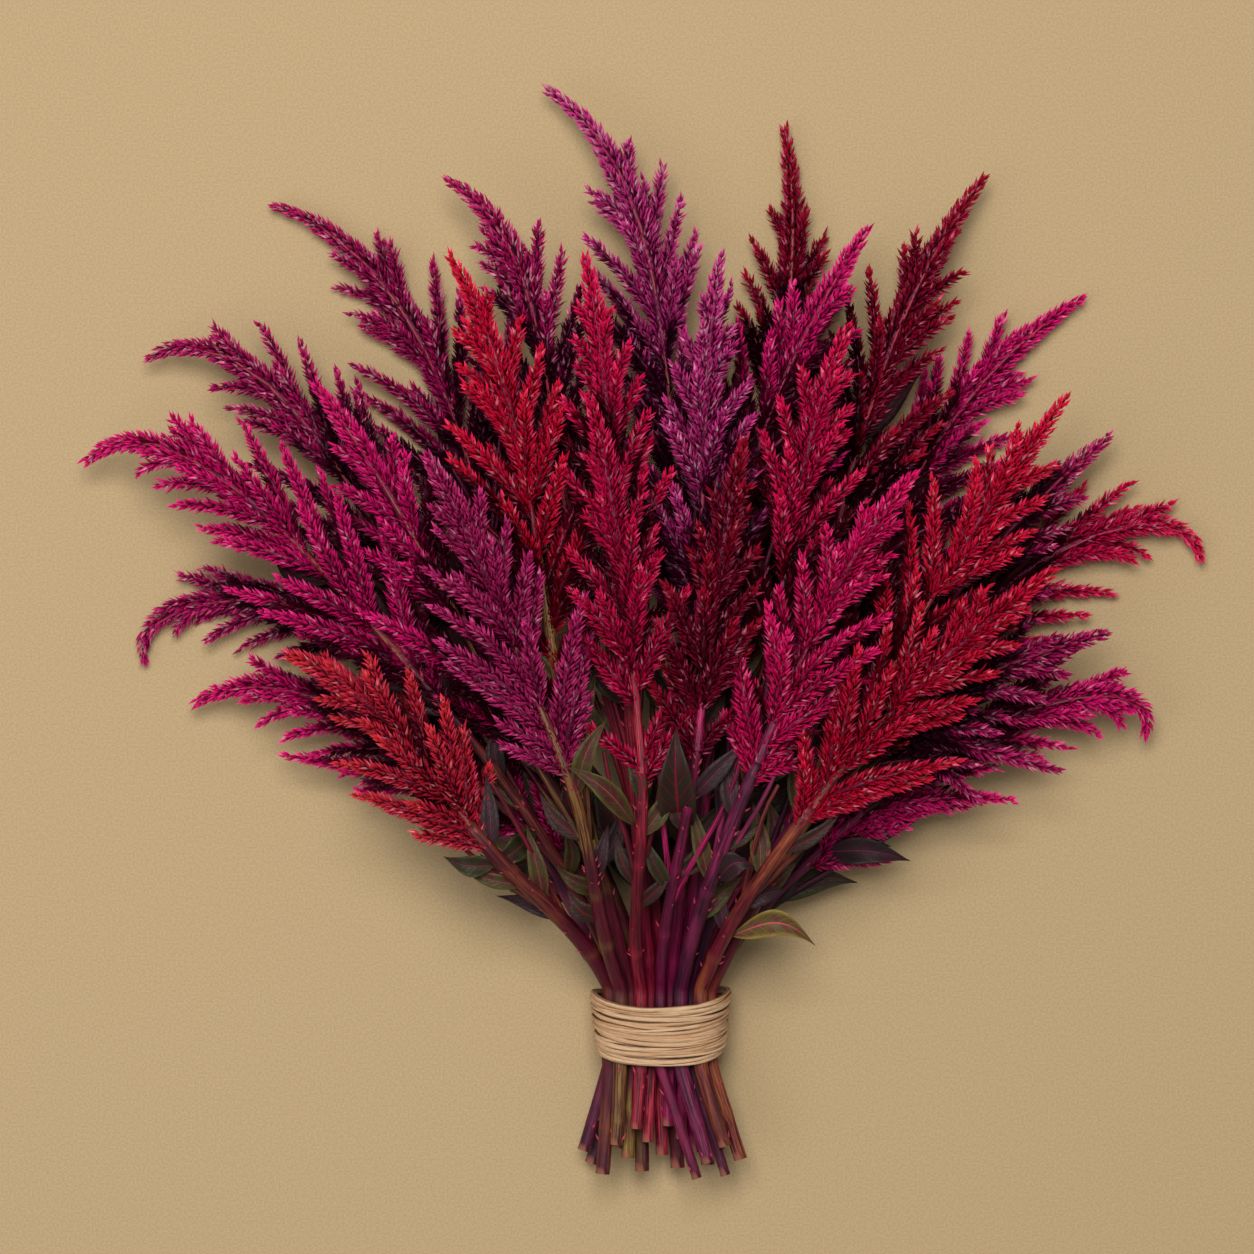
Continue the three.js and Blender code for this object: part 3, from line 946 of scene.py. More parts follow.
LEAF_FINISHES: dict[LeafTint, LeafFinish] = {
    LeafTint.STRIPED: LeafFinish(srgb(84, 78, 34), srgb(88, 44, 44), srgb(176, 84, 82), srgb(150, 130, 54)),
    LeafTint.DARK: LeafFinish(srgb(36, 32, 22), srgb(46, 20, 24), srgb(112, 18, 38), srgb(50, 44, 28)),
    LeafTint.OLIVE: LeafFinish(srgb(62, 56, 28), srgb(72, 28, 34), srgb(120, 66, 48), srgb(86, 84, 34)),
    LeafTint.PURPLE: LeafFinish(srgb(40, 30, 32), srgb(54, 22, 36), srgb(92, 38, 58), srgb(48, 40, 36)),
    LeafTint.GREEN: LeafFinish(srgb(38, 44, 24), srgb(46, 28, 26), srgb(92, 40, 40), srgb(66, 70, 32)),
    # Painted shade: near-black blade for the leaves under the lower plumes.
    LeafTint.SHADED: LeafFinish(srgb(28, 10, 12), srgb(36, 6, 18), srgb(62, 6, 22), srgb(30, 14, 12), 0.06),
}


@dataclass(frozen=True)
class LeafPlan:
    """Where a leaf sits on its stem, where its tip reaches and how it is shaped, in millimetres."""

    layer: int
    place: int
    along: float
    tip: tuple[float, float, float]
    width: float
    arch: float
    tint: LeafTint
    bow: float = 0.25


LEAVES = (
    LeafPlan(4, 4, 0.28, (77, 43, 66), 13, 6, LeafTint.STRIPED, 0.72),
    LeafPlan(3, 3, 0.38, (7, 154, 116), 18, 8, LeafTint.DARK, 0.1),
    LeafPlan(4, 1, 0.72, (-47, 134, 114), 10, 5, LeafTint.OLIVE, -0.4),
    LeafPlan(4, 3, 0.5, (46, 84, 99), 12, 6, LeafTint.PURPLE, 0.45),
    LeafPlan(3, 0, 0.78, (-108, 88, 76), 10, 4, LeafTint.GREEN),
)
STEM_LEAVES = (
    LeafPlan(1, 0, 0.62, (-92, 78, 30), 9, 4, LeafTint.GREEN),
    LeafPlan(1, 5, 0.66, (126, 84, 40), 13, 5, LeafTint.PURPLE),
    LeafPlan(3, 4, 0.55, (58, 148, 92), 13, 4, LeafTint.STRIPED),
    LeafPlan(3, 1, 0.4, (-48, 128, 88), 12, 4, LeafTint.DARK),
    LeafPlan(2, 0, 0.45, (-86, 84, 66), 11, 4, LeafTint.GREEN),
    LeafPlan(0, 2, 0.2, (-36, 134, 14), 26, 3, LeafTint.DARK, 0.1),
    LeafPlan(1, 2, 0.26, (-24, 122, 32), 20, 3, LeafTint.PURPLE, -0.2),
    LeafPlan(0, 2, 0.3, (34, 150, 14), 22, 3, LeafTint.DARK, -0.1),
)


@dataclass(frozen=True)
class Head:
    """Where one plume starts and ends and how it grows, in millimetres and degrees."""

    base: tuple[float, float]
    leave: float
    tip: tuple[float, float]
    end: float
    reach: float
    droop: float
    tint: Tint
    low: tuple[tuple[float, float], ...] = ()
    bare: float = 0.0


LAYERS: tuple[tuple[Head, ...], ...] = (
    (
        Head((-98, 158), -14, (-264, 187), -190, 26, 2, Tint.PLUM),
        Head((-85, 219), -6, (-194, 416), -72, 30, 0, Tint.PLUM, ((-76, 366), (-58, 350))),
        Head((46, 230), 8, (64, 454), -10, 28, 0, Tint.WINE, ((40, 354),)),
        Head((102, 220), 22, (213, 368), 60, 29, 0, Tint.MAGENTA),
        Head((124, 166), 26, (276, 238), 163, 27, 0, Tint.CRIMSON),
    ),
    (
        Head((-88, 118), -54, (-235, 164), -122, 26, 20, Tint.MAGENTA, ((-191, 137), (-154, 119))),
        Head((-120, 207), -26, (-258, 340), -116, 28, 18, Tint.PLUM, ((-154, 326),)),
        Head((13, 237), -8, (-54, 473), -54, 30, 18, Tint.VIOLET, ((11, 362),)),
        Head((88, 245), 12, (163, 428), 38, 27, 16, Tint.WINE),
        Head((124, 182), 32, (226, 297), 52, 27, 12, Tint.PLUM),
        Head((112, 118), 44, (247, 149), 188, 26, 18, Tint.MAGENTA),
    ),
    (
        Head((-131, 188), -42, (-290, 287), -128, 27, 36, Tint.MAGENTA),
        Head((-84, 174), -28, (-172, 322), -38, 26, 0, Tint.MAGENTA),
        Head((-46, 250), -10, (-105, 426), -58, 28, 26, Tint.PLUM),
        Head((38, 250), 10, (102, 400), 32, 28, 8, Tint.MAGENTA),
        Head((108, 146), 50, (222, 198), 76, 26, 12, Tint.PLUM, ((200, 130), (160, 115))),
    ),
    (
        Head((-95, 104), -36, (-185, 188), -74, 24, 4, Tint.ORANGE, bare=12),
        Head((-56, 205), -8, (-103, 383), -30, 28, 0, Tint.RED),
        Head((-20, 225), -3, (-37, 383), -10, 19, 0, Tint.CRIMSON),
        Head((19, 215), 2, (29, 383), 10, 21, 0, Tint.VIOLET),
        Head((58, 205), 8, (92, 350), 24, 25, 0, Tint.CRIMSON),
        Head((108, 170), 28, (200, 314), 38, 28, 16, Tint.RED),
    ),
    (
        Head((-50, 140), -24, (-115, 285), -32, 27, 0, Tint.MAUVE, bare=16),
        Head((-10, 138), -5, (-34, 310), -14, 21, 0, Tint.CRIMSON, bare=34),
        Head((18, 148), 5, (40, 293), 12, 18, 0, Tint.WINE, bare=14),
        Head((47, 136), 22, (122, 275), 40, 24, 0, Tint.PINK, bare=18),
        Head((74, 114), 36, (190, 228), 54, 26, 4, Tint.RED, bare=14),
    ),
)

LAYER_BASE = 12.0
LAYER_PITCH = 24.0
FIRST_OPEN_LAYER = 3


def bent_rod(course: Course, stock: Stock, radius: Array, marks: Array, slot: int, grain: float,
             cover: float = 0.99) -> list[Patch]:
    """Bends a straight rod along a course.

    Args:
        course: The line.
        stock: Straight rod of length 1 and radius 1.
        radius: Its radius at each corner.
        marks: What its finish reads at each corner.
        slot: Material slot of its faces.
        grain: Where in the streaks of its finish it lies, in metres.
        cover: Share of the course that it covers.

    Returns:
        Its patches.
    """
    share = stock.corners[:, 2]
    x, y = stock.corners[:, 0] * radius, stock.corners[:, 1] * radius
    corners = course.frames(share * cover).beside(x, y)
    rest = columns(x + grain, y, share * course.length)
    return [Patch(corners, faces, marks, rest, slot) for faces in stock.even_faces()]


@dataclass(frozen=True)
class Spike:
    """One spike of florets: its course, how far its florets stand off and how it narrows."""

    course: Course
    half_width: float
    seed: int
    root: float = 0.34
    taper: float = 0.8
    fullness: float = 1.35
    full_at: float = 0.36
    fall_at: float = 0.22
    core_depth: float = 2.7
    least_core: float = 0.34
    is_parted: bool = False

    def envelope(self, share: Array) -> Array:
        """How far the floret tips stand off along the spike.

        Args:
            share: Shares of its length.

        Returns:
            Distances in metres.
        """
        rise = self.root + (1.0 - self.root) * np.sin(np.minimum(share / self.full_at, 1.0) * math.pi / 2)
        late = np.maximum(0.0, (share - self.fall_at) / (1.0 - self.fall_at))
        return self.half_width * MM * rise * (1.0 - self.taper * late ** self.fullness)

    def core_radius(self, share: Array) -> Array:
        """How thick the shaded inside of the spike is, in metres."""
        wide = self.envelope(share)
        return np.maximum(wide - self.core_depth * MM, self.least_core * wide)


@dataclass
class Florets:
    """Florets of a plume or bracts of a stem, one row each: place, direction, size, and brightness that
    carries painted shade.
    """

    foot: Array
    axis: Array
    side: Array
    length: Array
    width: Array
    shade: Array
    up: Array

    @classmethod
    def join(cls, parts: Sequence["Florets"]) -> "Florets":
        """Joins several sets into one."""
        return cls(*(np.concatenate([getattr(part, row.name) for part in parts]) for row in fields(cls)))

    def tips(self) -> Array:
        """Where the florets end."""
        return self.foot + self.axis * self.length[:, None]

    def keep(self, chosen: Array) -> "Florets":
        """The chosen ones."""
        return Florets(*(getattr(self, row.name)[chosen] for row in fields(self)))

    def patch(self, stock: Stock, rng: np.random.Generator, pale_share: float) -> Patch:
        """Copies the stock floret to every place.

        Args:
            stock: The floret modelled once, 1 long and 1 wide.
            rng: Source of the pale streaks.
            pale_share: Share of the florets that have one.

        Returns:
            All florets as one patch.
        """
        side = unit(self.side - self.axis * np.sum(self.side * self.axis, axis=1, keepdims=True))
        thick = np.cross(self.axis, side)
        x, y, z = stock.corners.T
        corners = (self.foot[:, None, :]
                   + side[:, None, :] * (self.width[:, None] * x)[:, :, None]
                   + thick[:, None, :] * (self.width[:, None] * y)[:, :, None]
                   + self.axis[:, None, :] * (self.length[:, None] * z)[:, :, None]).reshape(-1, 3)
        count, size = len(self.foot), len(z)
        belly = np.flatnonzero((z > 0.05) & (z < 0.95))
        # A pale streak on one flank corner of some florets: a paler edge and a painted highlight.
        pale = np.zeros((count, size))
        chosen = np.flatnonzero(rng.random(count) < pale_share)
        pale[chosen, rng.choice(belly, len(chosen))] = 0.55 + 0.45 * rng.random(len(chosen))
        marks = columns(z[None], self.shade[:, None], pale, self.up[:, None])
        faces = np.array(stock.faces)[None] + (np.arange(count) * size)[:, None, None]
        return Patch(corners, faces.reshape(-1, faces.shape[2]), marks.reshape(-1, 4), corners.copy(),
                     is_smooth=False)


class Canopy:
    """Upper and lower face of all the florets together, in square columns."""

    def __init__(self, places: Array, column: float = 4.0, underside: float = 5.0) -> None:
        """Finds how high and how low the florets of each column reach.

        Args:
            places: Where all the florets are.
            column: Width of a column in millimetres.
            underside: How much deeper a place on the lower face counts, in millimetres.
        """
        self.column = column * MM
        self.underside = underside * MM
        self.corner = places[:, :2].min(axis=0) - 2.0 * self.column
        size = np.ceil((places[:, :2].max(axis=0) - self.corner) / self.column).astype(int) + 3
        self.high = np.full(size, -1.0)
        self.low = np.full(size, 1.0)
        cells = self.cells(places)
        np.maximum.at(self.high, cells, places[:, 2])
        np.minimum.at(self.low, cells, places[:, 2])

    def cells(self, places: Array) -> tuple[Array, Array]:
        """Columns that the places are in."""
        cell = ((places[:, :2] - self.corner) / self.column).astype(int)
        return cell[:, 0], cell[:, 1]

    @staticmethod
    def around(grid: Array) -> Array:
        """The grid with its eight neighbours, stacked."""
        return np.stack([np.roll(grid, (i, j), axis=(0, 1)) for i in (-1, 0, 1) for j in (-1, 0, 1)])

    def depth(self, places: Array) -> tuple[Array, Array]:
        """How deep the places lie under open air.

        Args:
            places: The places.

        Returns:
            Depth under the least high neighbouring column, counted from the nearer face, and
            depth under the mean of them.
        """
        cells = self.cells(places)
        z = places[:, 2]
        high, low = self.around(self.high), self.around(self.low)
        least = np.minimum(high.min(axis=0)[cells] - z, z - low.max(axis=0)[cells] + self.underside)
        mean = np.minimum(high.mean(axis=0)[cells] - z, z - low.mean(axis=0)[cells])
        return least, mean


@dataclass
class Plume:
    """Flower head: a main spike and the side spikes that spread from it.

    Lengths are in millimetres. Shares run from 0 at the plume's foot to 1 at its tip.
    """

    head: Head
    layer: int
    place: int
    number: int
    main_half_width: float = 9.0
    side_half_width: float = 7.6
    short_half_width: float = 5.4
    leave_pull: float = 1.1
    end_pull: float = 0.9
    hang_start: float = 0.4
    sag: float = 3.0
    sag_share: float = 1 / 3
    main_first: float = 0.3
    main_last: float = 1.018
    main_taper: float = 0.78
    main_fullness: float = 2.2
    first_tip: float = 0.2
    last_tip: float = 0.8
    upper_last_tip: float = 0.86
    tip_pitch: float = 8.2
    spread: float = 1.45
    widest: float = 0.36
    fork_angle: float = 27.0
    lift: float = 11.0
    top_lift: float = 8.0
    lifts: tuple[float, ...] = (0.0, 0.75, -0.7, 0.3, -0.3, 0.93)
    inner_count: int = 8
    inner_span: float = 46.0
    low_dip: float = 8.0
    low_skirt: int = 8
    high_skirt: int = 5
    bare_skirt: int = 3
    skirt_depth: float = 52.0
    bare_skirt_depth: float = 16.0
    skirt_rise: float = 0.5
    top_skirt_rise: float = 0.15
    stalk_foot: float = 3.1
    stalk_top: float = 0.6
    under_leaf_count: int = 6
    floret_length: float = 7.0
    floret_width: float = 1.52
    cluster_area: float = 14.6
    cluster: tuple[tuple[float, float, float], ...] = ((0.0, 0.0, 1.0), (0.5, 0.5, 0.8), (-0.5, 0.35, 0.9))
    crown_size: int = 9
    crown_length: float = 5.0
    # Top-layer florets are dimmed: painted shade on the layer that lies nearest the lamps.
    top_glow: float = 0.8
    # Shares of florets with a pale streak, a paler edge and a painted highlight.
    pale_share: float = 0.15
    purple_pale_share: float = 0.3
    florets: Optional[Florets] = None
    planned: list[Spike] = field(default_factory=list)

    @property
    def is_covered(self) -> bool:
        """Whether other plumes lie over it."""
        return self.layer < FIRST_OPEN_LAYER

    @property
    def is_top(self) -> bool:
        """Whether it lies in the top layer."""
        return self.layer == len(LAYERS) - 1

    @property
    def length(self) -> float:
        """Length that a share of 1 stands for."""
        return math.dist(self.head.base, self.head.tip) * self.leave_pull

    @property
    def main_start(self) -> float:
        """Where along the stalk the main spike's florets start."""
        return self.main_first + self.head.bare / self.length

    def main_points(self, share: Array) -> Array:
        """Points of the main spike.

        Args:
            share: Where along the spike, past the ends too.

        Returns:
            One point a share.
        """
        head = self.head
        height = LAYER_BASE + LAYER_PITCH * self.layer
        base = np.array([*head.base, height], dtype=float)
        tip = np.array([*head.tip, height], dtype=float)
        chord = float(np.linalg.norm(tip - base))
        leave = heading(head.leave) * chord * self.leave_pull
        arrive = heading(head.end) * chord * self.end_pull
        inside = np.clip(share, 0.0, 1.0)
        points = hermite(base, leave, tip, arrive, inside)
        points = points + leave * np.minimum(share, 0.0)[:, None]
        points = points + arrive * np.maximum(share - 1.0, 0.0)[:, None]
        sag = self.sag if self.layer == 0 else 0.0
        hang = np.maximum(0.0, (inside - self.hang_start) / (1.0 - self.hang_start)) ** 2
        points[:, 2] -= head.droop * hang + sag * smooth(np.minimum(1.0, inside / self.sag_share))
        return points

    def main_ahead(self, share: Array) -> Array:
        """Directions of the main spike."""
        step = 0.01
        return unit(self.main_points(share + step) - self.main_points(share - step))

    def branching(self, along: float) -> tuple[Array, Array]:
        """Where something branches off the main spike, and the way ahead there."""
        share = np.array([along])
        return self.main_points(share)[0], self.main_ahead(share)[0]

    def stalk(self) -> Course:
        """Line of the stalk, which shows between the florets of the lower plumes.

        Returns:
            The line.
        """
        share = np.linspace(-0.04, 0.9, 60)
        points = self.main_points(share)
        if self.planned[0].is_parted:
            inside = np.clip((share - self.main_start) / (self.main_last - self.main_start), 0.0, 1.0)
            rise = self.planned[0].core_radius(inside) / MM - 0.1
            points = points + UP * (rise * smooth(np.clip(share / 0.35, 0.0, 1.0)))[:, None]
        return Course(points * MM)

    def reach(self, tip: float) -> float:
        """How far a side spike's tip stands off the main one.

        Args:
            tip: Where along the main spike the tip is.

        Returns:
            The distance.
        """
        if tip < self.widest:
            share = 0.7 + 0.3 * tip / self.widest
        else:
            share = ((1.0 - tip) / (1.0 - self.widest)) ** 0.85
        return self.head.reach * self.spread * share

    def side_course(self, tip: float, off: float, lift: float, span: float) -> Course:
        """Line of a spike that forks from the main one.

        Args:
            tip: Where along the main spike its tip is.
            off: How far the tip stands off to the side.
            lift: How far it rises.
            span: How much of the main spike it runs beside.

        Returns:
            The line.
        """
        share = np.linspace(0.0, 1.0, 26)
        along = tip - span * (1.0 - share)
        across = unit(np.cross(UP, self.main_ahead(along)))
        out = off * share * (0.86 + 0.14 * share)
        rise = lift * np.sin(share * math.pi / 2)
        return Course((self.main_points(along) + across * out[:, None] + UP * rise[:, None]) * MM)

    def low_courses(self) -> list[Course]:
        """Lines of the long spikes that branch off near the base and spread out low.

        Returns:
            The lines.
        """
        courses = []
        for i, end in enumerate(self.head.low):
            fork, ahead = self.branching(0.02 + 0.02 * i)
            tip = np.array([*end, fork[2] - self.low_dip])
            aim = tip - fork
            out = ahead * float(np.linalg.norm(aim)) * 0.5
            courses.append(Course(hermite(fork, out, tip, aim, np.linspace(0.0, 1.0, 40)) * MM))
        return courses

    def skirt_courses(self) -> list[Course]:
        """Lines of the short spikes that stand off the stem just below the plume.

        Returns:
            The lines.
        """
        rng = np.random.default_rng(400 + self.number)
        count = self.low_skirt if self.is_covered else self.high_skirt
        depth = self.skirt_depth
        if self.head.bare:
            count, depth = self.bare_skirt, self.bare_skirt_depth
        highest = self.top_skirt_rise if self.is_top else self.skirt_rise
        courses = []
        for i in range(count):
            below = depth * (i + 0.6) / count * rng.uniform(0.75, 1.1)
            foot, ahead = self.branching(-below / self.length)
            across = unit(np.cross(UP, ahead)) * hand(i + self.number)
            out = across * rng.uniform(0.75, 1.0) + UP * rng.uniform(-0.45, highest)
            length = rng.uniform(30.0, 52.0)
            tip = foot + ahead * length * rng.uniform(0.6, 0.85) + out * length * rng.uniform(0.5, 0.75)
            courses.append(Course(hermite(foot, (ahead + 0.5 * out) * length * 0.8, tip,
                                          (ahead + out) * length * 0.6,
                                          np.linspace(0.0, 1.0, 24)) * MM))
        return courses

    def main_spike(self) -> Spike:
        """The spike in the middle."""
        share = np.linspace(self.main_start, self.main_last, 70)
        return Spike(Course(self.main_points(share) * MM), self.main_half_width, self.number * 97,
                     taper=self.main_taper, fullness=self.main_fullness, is_parted=self.is_covered)

    def spikes(self) -> list[Spike]:
        """Plans every spike of the plume.

        Returns:
            The spikes, the main one first.
        """
        number = self.number
        planned = [self.main_spike()]
        seed = planned[0].seed
        bare = self.head.bare / self.length
        first = self.first_tip + bare
        last = self.last_tip if self.is_covered else self.upper_last_tip
        count = round(self.length * (last - first) / self.tip_pitch)
        slope = math.tan(math.radians(self.fork_angle))
        tall = self.top_lift if self.is_top else self.lift
        for i in range(count):
            share = i / (count - 1)
            tip = first + (last - first) * share + 0.02 * vary(number, i)
            off = self.reach(tip) * (0.96 + 0.19 * vary(number + 3, i))
            lift = self.lifts[(i // 2) % len(self.lifts)] * tall * (1.0 - 0.6 * share)
            steep = slope * (1.28 - 0.4 * share)
            span = max(off / steep, 24.0 - 8.0 * share) / self.length
            wide = self.side_half_width * (1.0 - 0.34 * share)
            course = self.side_course(tip, -hand(i + number) * off, lift, span)
            planned.append(Spike(course, wide, seed + 7 * i + 1))
        for i in range(self.inner_count):
            tip = 0.22 + bare + (0.085 - 0.13 * bare) * i + 0.02 * vary(number + 5, i)
            off = self.reach(tip) * (0.42 + 0.16 * vary(number + 8, i)) * hand(i + number)
            lift = (tall if i % 3 else -10.0) * (1.0 - 0.07 * i)
            wide = self.side_half_width * (0.94 - 0.04 * i)
            course = self.side_course(tip, off, lift, self.inner_span / self.length)
            planned.append(Spike(course, wide, seed + 7 * i + 2))
        planned += [Spike(course, self.side_half_width, seed + 7 * i + 5)
                    for i, course in enumerate(self.low_courses())]
        planned += [Spike(course, self.short_half_width, seed + 7 * i + 6)
                    for i, course in enumerate(self.skirt_courses())]
        return planned

    def clothe(self, spike: Spike) -> list[Florets]:
        """Sets small clusters of florets round a spike in a spiral.

        Args:
            spike: The spike.

        Returns:
            Its florets.
        """
        rng = np.random.default_rng(spike.seed)
        painted_dim = self.top_glow if self.is_top else 1.0
        steps = np.linspace(0.0, 1.0, 64)
        wide = spike.envelope(steps)
        area = TURN * 0.8 * float(wide.mean()) * spike.course.length
        count = max(10, int(area / (self.cluster_area * MM * MM)))
        index = np.arange(count)
        filled = np.cumsum(wide)
        share = np.interp((index + 0.5) / count * filled[-1], filled, steps)
        turn = spike.seed + index * GOLDEN_TURN
        seen = (np.sin(turn) > -0.35) | (rng.random(count) < 0.6)
        if spike.is_parted:
            seen &= (np.sin(turn) < 0.955) | (share > 0.7) | (rng.random(count) < 0.3)
        share, turn = share[seen], turn[seen]
        count = len(share)
        frames = spike.course.frames(share)
        out = frames.outward(turn)
        end = np.clip((share - 0.8) / 0.2, 0.0, 1.0)
        lean = np.radians(40.0 - 10.0 * share ** 1.5 - 16.0 * end + rng.uniform(-8.0, 8.0, count))
        length = self.floret_length * MM * (1.0 - 0.1 * share - 0.2 * end) * rng.uniform(0.85, 1.2, count)
        wide = spike.envelope(share) * rng.uniform(0.9, 1.14, count)
        radius = np.maximum(wide - length * np.sin(lean), 0.12 * wide)
        lateral = np.cross(out, frames.ahead)
        sets = []
        for spread, back, part in self.cluster:
            swing = spread * rng.uniform(0.6, 1.2, count) * (1.0 - 0.7 * end)
            tilt = lean + rng.uniform(-0.09, 0.09, count)
            axis = unit(frames.ahead * np.cos(tilt)[:, None] + out * np.sin(tilt)[:, None]
                        + lateral * swing[:, None])
            size = length * part * rng.uniform(0.88, 1.1, count)
            foot = (frames.place + out * radius[:, None] - frames.ahead * (back * 2.0 * MM)
                    + lateral * (spread * 0.8 * MM))
            # Shade: random tone, a little darker for the smaller florets of a cluster, and dimmed on the top
            # layer as painted shade.
            shade = np.clip(0.62 + 0.38 * part + rng.uniform(-0.34, 0.1, count), 0.0, 1.0) * painted_dim
            width = self.floret_width * MM * rng.uniform(0.8, 1.15, count) * (0.9 + 0.35 * share)
            sets.append(Florets(foot, axis, lateral + 0.3 * frames.ahead, size, width, shade, share))
        return [*sets, self.crown(spike, rng, painted_dim)]

    def crown(self, spike: Spike, rng: np.random.Generator, painted_dim: float) -> Florets:
        """Closes a spike's tip with a tight pointed bud of florets.

        Args:
            spike: The spike.
            rng: Source of the variety.
            painted_dim: How bright the florets are.

        Returns:
            The bud.
        """
        size = self.crown_size
        step = np.arange(size) / size
        share = 1.0 - self.crown_length * MM / spike.course.length * (1.0 - step)
        frames = spike.course.frames(share)
        out = frames.outward(spike.seed + np.arange(size) * GOLDEN_TURN)
        lean = np.radians(18.0 - 16.0 * step)
        axis = unit(frames.ahead * np.cos(lean)[:, None] + out * np.sin(lean)[:, None])
        length = self.floret_length * MM * rng.uniform(0.55, 0.75, size)
        foot = frames.place - axis * (length * 0.7)[:, None]
        width = np.full(size, self.floret_width * MM * 1.1)
        return Florets(foot, axis, np.cross(axis, out) + out * 0.1, length, width,
                       np.full(size, painted_dim), np.ones(size))

    def plan(self) -> None:
        """Plans the spikes and sets their florets."""
        self.planned = self.spikes()
        self.florets = Florets.join([part for spike in self.planned for part in self.clothe(spike)])

    def under_leaves(self) -> list[tuple[Array, LeafPlan]]:
        """Plans the leaves that lie under the florets of the lower plumes, near-black as painted shade.

        Returns:
            Where each leaf starts and its plan.
        """
        rng = np.random.default_rng(3000 + self.number)
        planned = []
        count = self.under_leaf_count if self.is_covered else 0
        for i in range(count):
            foot, ahead = self.branching(-0.2 + 0.46 * (i + rng.random()) / count)
            foot = foot - UP * 3.0
            across = unit(np.cross(UP, ahead)) * hand(i + self.number)
            length = rng.uniform(40.0, 56.0)
            tip = foot + (ahead * 0.82 + across * rng.uniform(0.15, 0.42)) * length
            tip[2] = max(foot[2] - rng.uniform(0.0, 6.0), 4.0)
            width = rng.uniform(13.0, 18.0)
            planned.append((foot, LeafPlan(self.layer, self.place, 1.0, tuple(tip), width, 2.0,
                                           LeafTint.SHADED, rng.uniform(-0.3, 0.3))))
        return planned

    def build(self, supplies: "Supplies", stem_tint: StemTint) -> None:
        """Makes the plume from what was planned.

        Args:
            supplies: The shapes and finishes.
            stem_tint: Colour of its stalk.
        """
        rod = supplies.thread
        piece = Piece(f"florets_{self.number:02d}", f"plume_{self.head.tint.value}",
                      f"plume_{self.number:02d}")
        body = piece.slot_for(supplies.floret_paint[self.head.tint])
        bark = piece.slot_for(supplies.stem_paint[stem_tint])
        share = rod.corners[:, 2]
        # Dark core rods inside the spikes: painted shade for their insides, so that no table shows through.
        marks = columns(0.22, 0.12 + 0.5 * share ** 3, 0.0, share * 0.5)
        for spike in self.planned:
            piece.add(*bent_rod(spike.course, rod, spike.core_radius(share), marks, body, 0.0))
        radius = (self.stalk_foot + (self.stalk_top - self.stalk_foot) * np.minimum(share * 2.0, 1.0)) * MM
        marks = columns(0.45 * smooth(share), 0.0, 0.0, 1.0)
        piece.add(*bent_rod(self.stalk(), rod, radius, marks, bark, self.number * 0.05))
        for i, (start, plan) in enumerate(self.under_leaves()):
            leaf = Leaf(plan, self.number * 9 + i, is_fused=True)
            slot = piece.slot_for(supplies.leaf_paint[plan.tint])
            piece.add(leaf.shaped(start, np.array(plan.tip), supplies.sliver, slot))
        is_purple = self.head.tint in (Tint.PLUM, Tint.VIOLET)
        pale_share = self.purple_pale_share if is_purple else self.pale_share
        piece.add(self.florets.patch(supplies.floret, np.random.default_rng(self.number), pale_share))
        piece.finish()


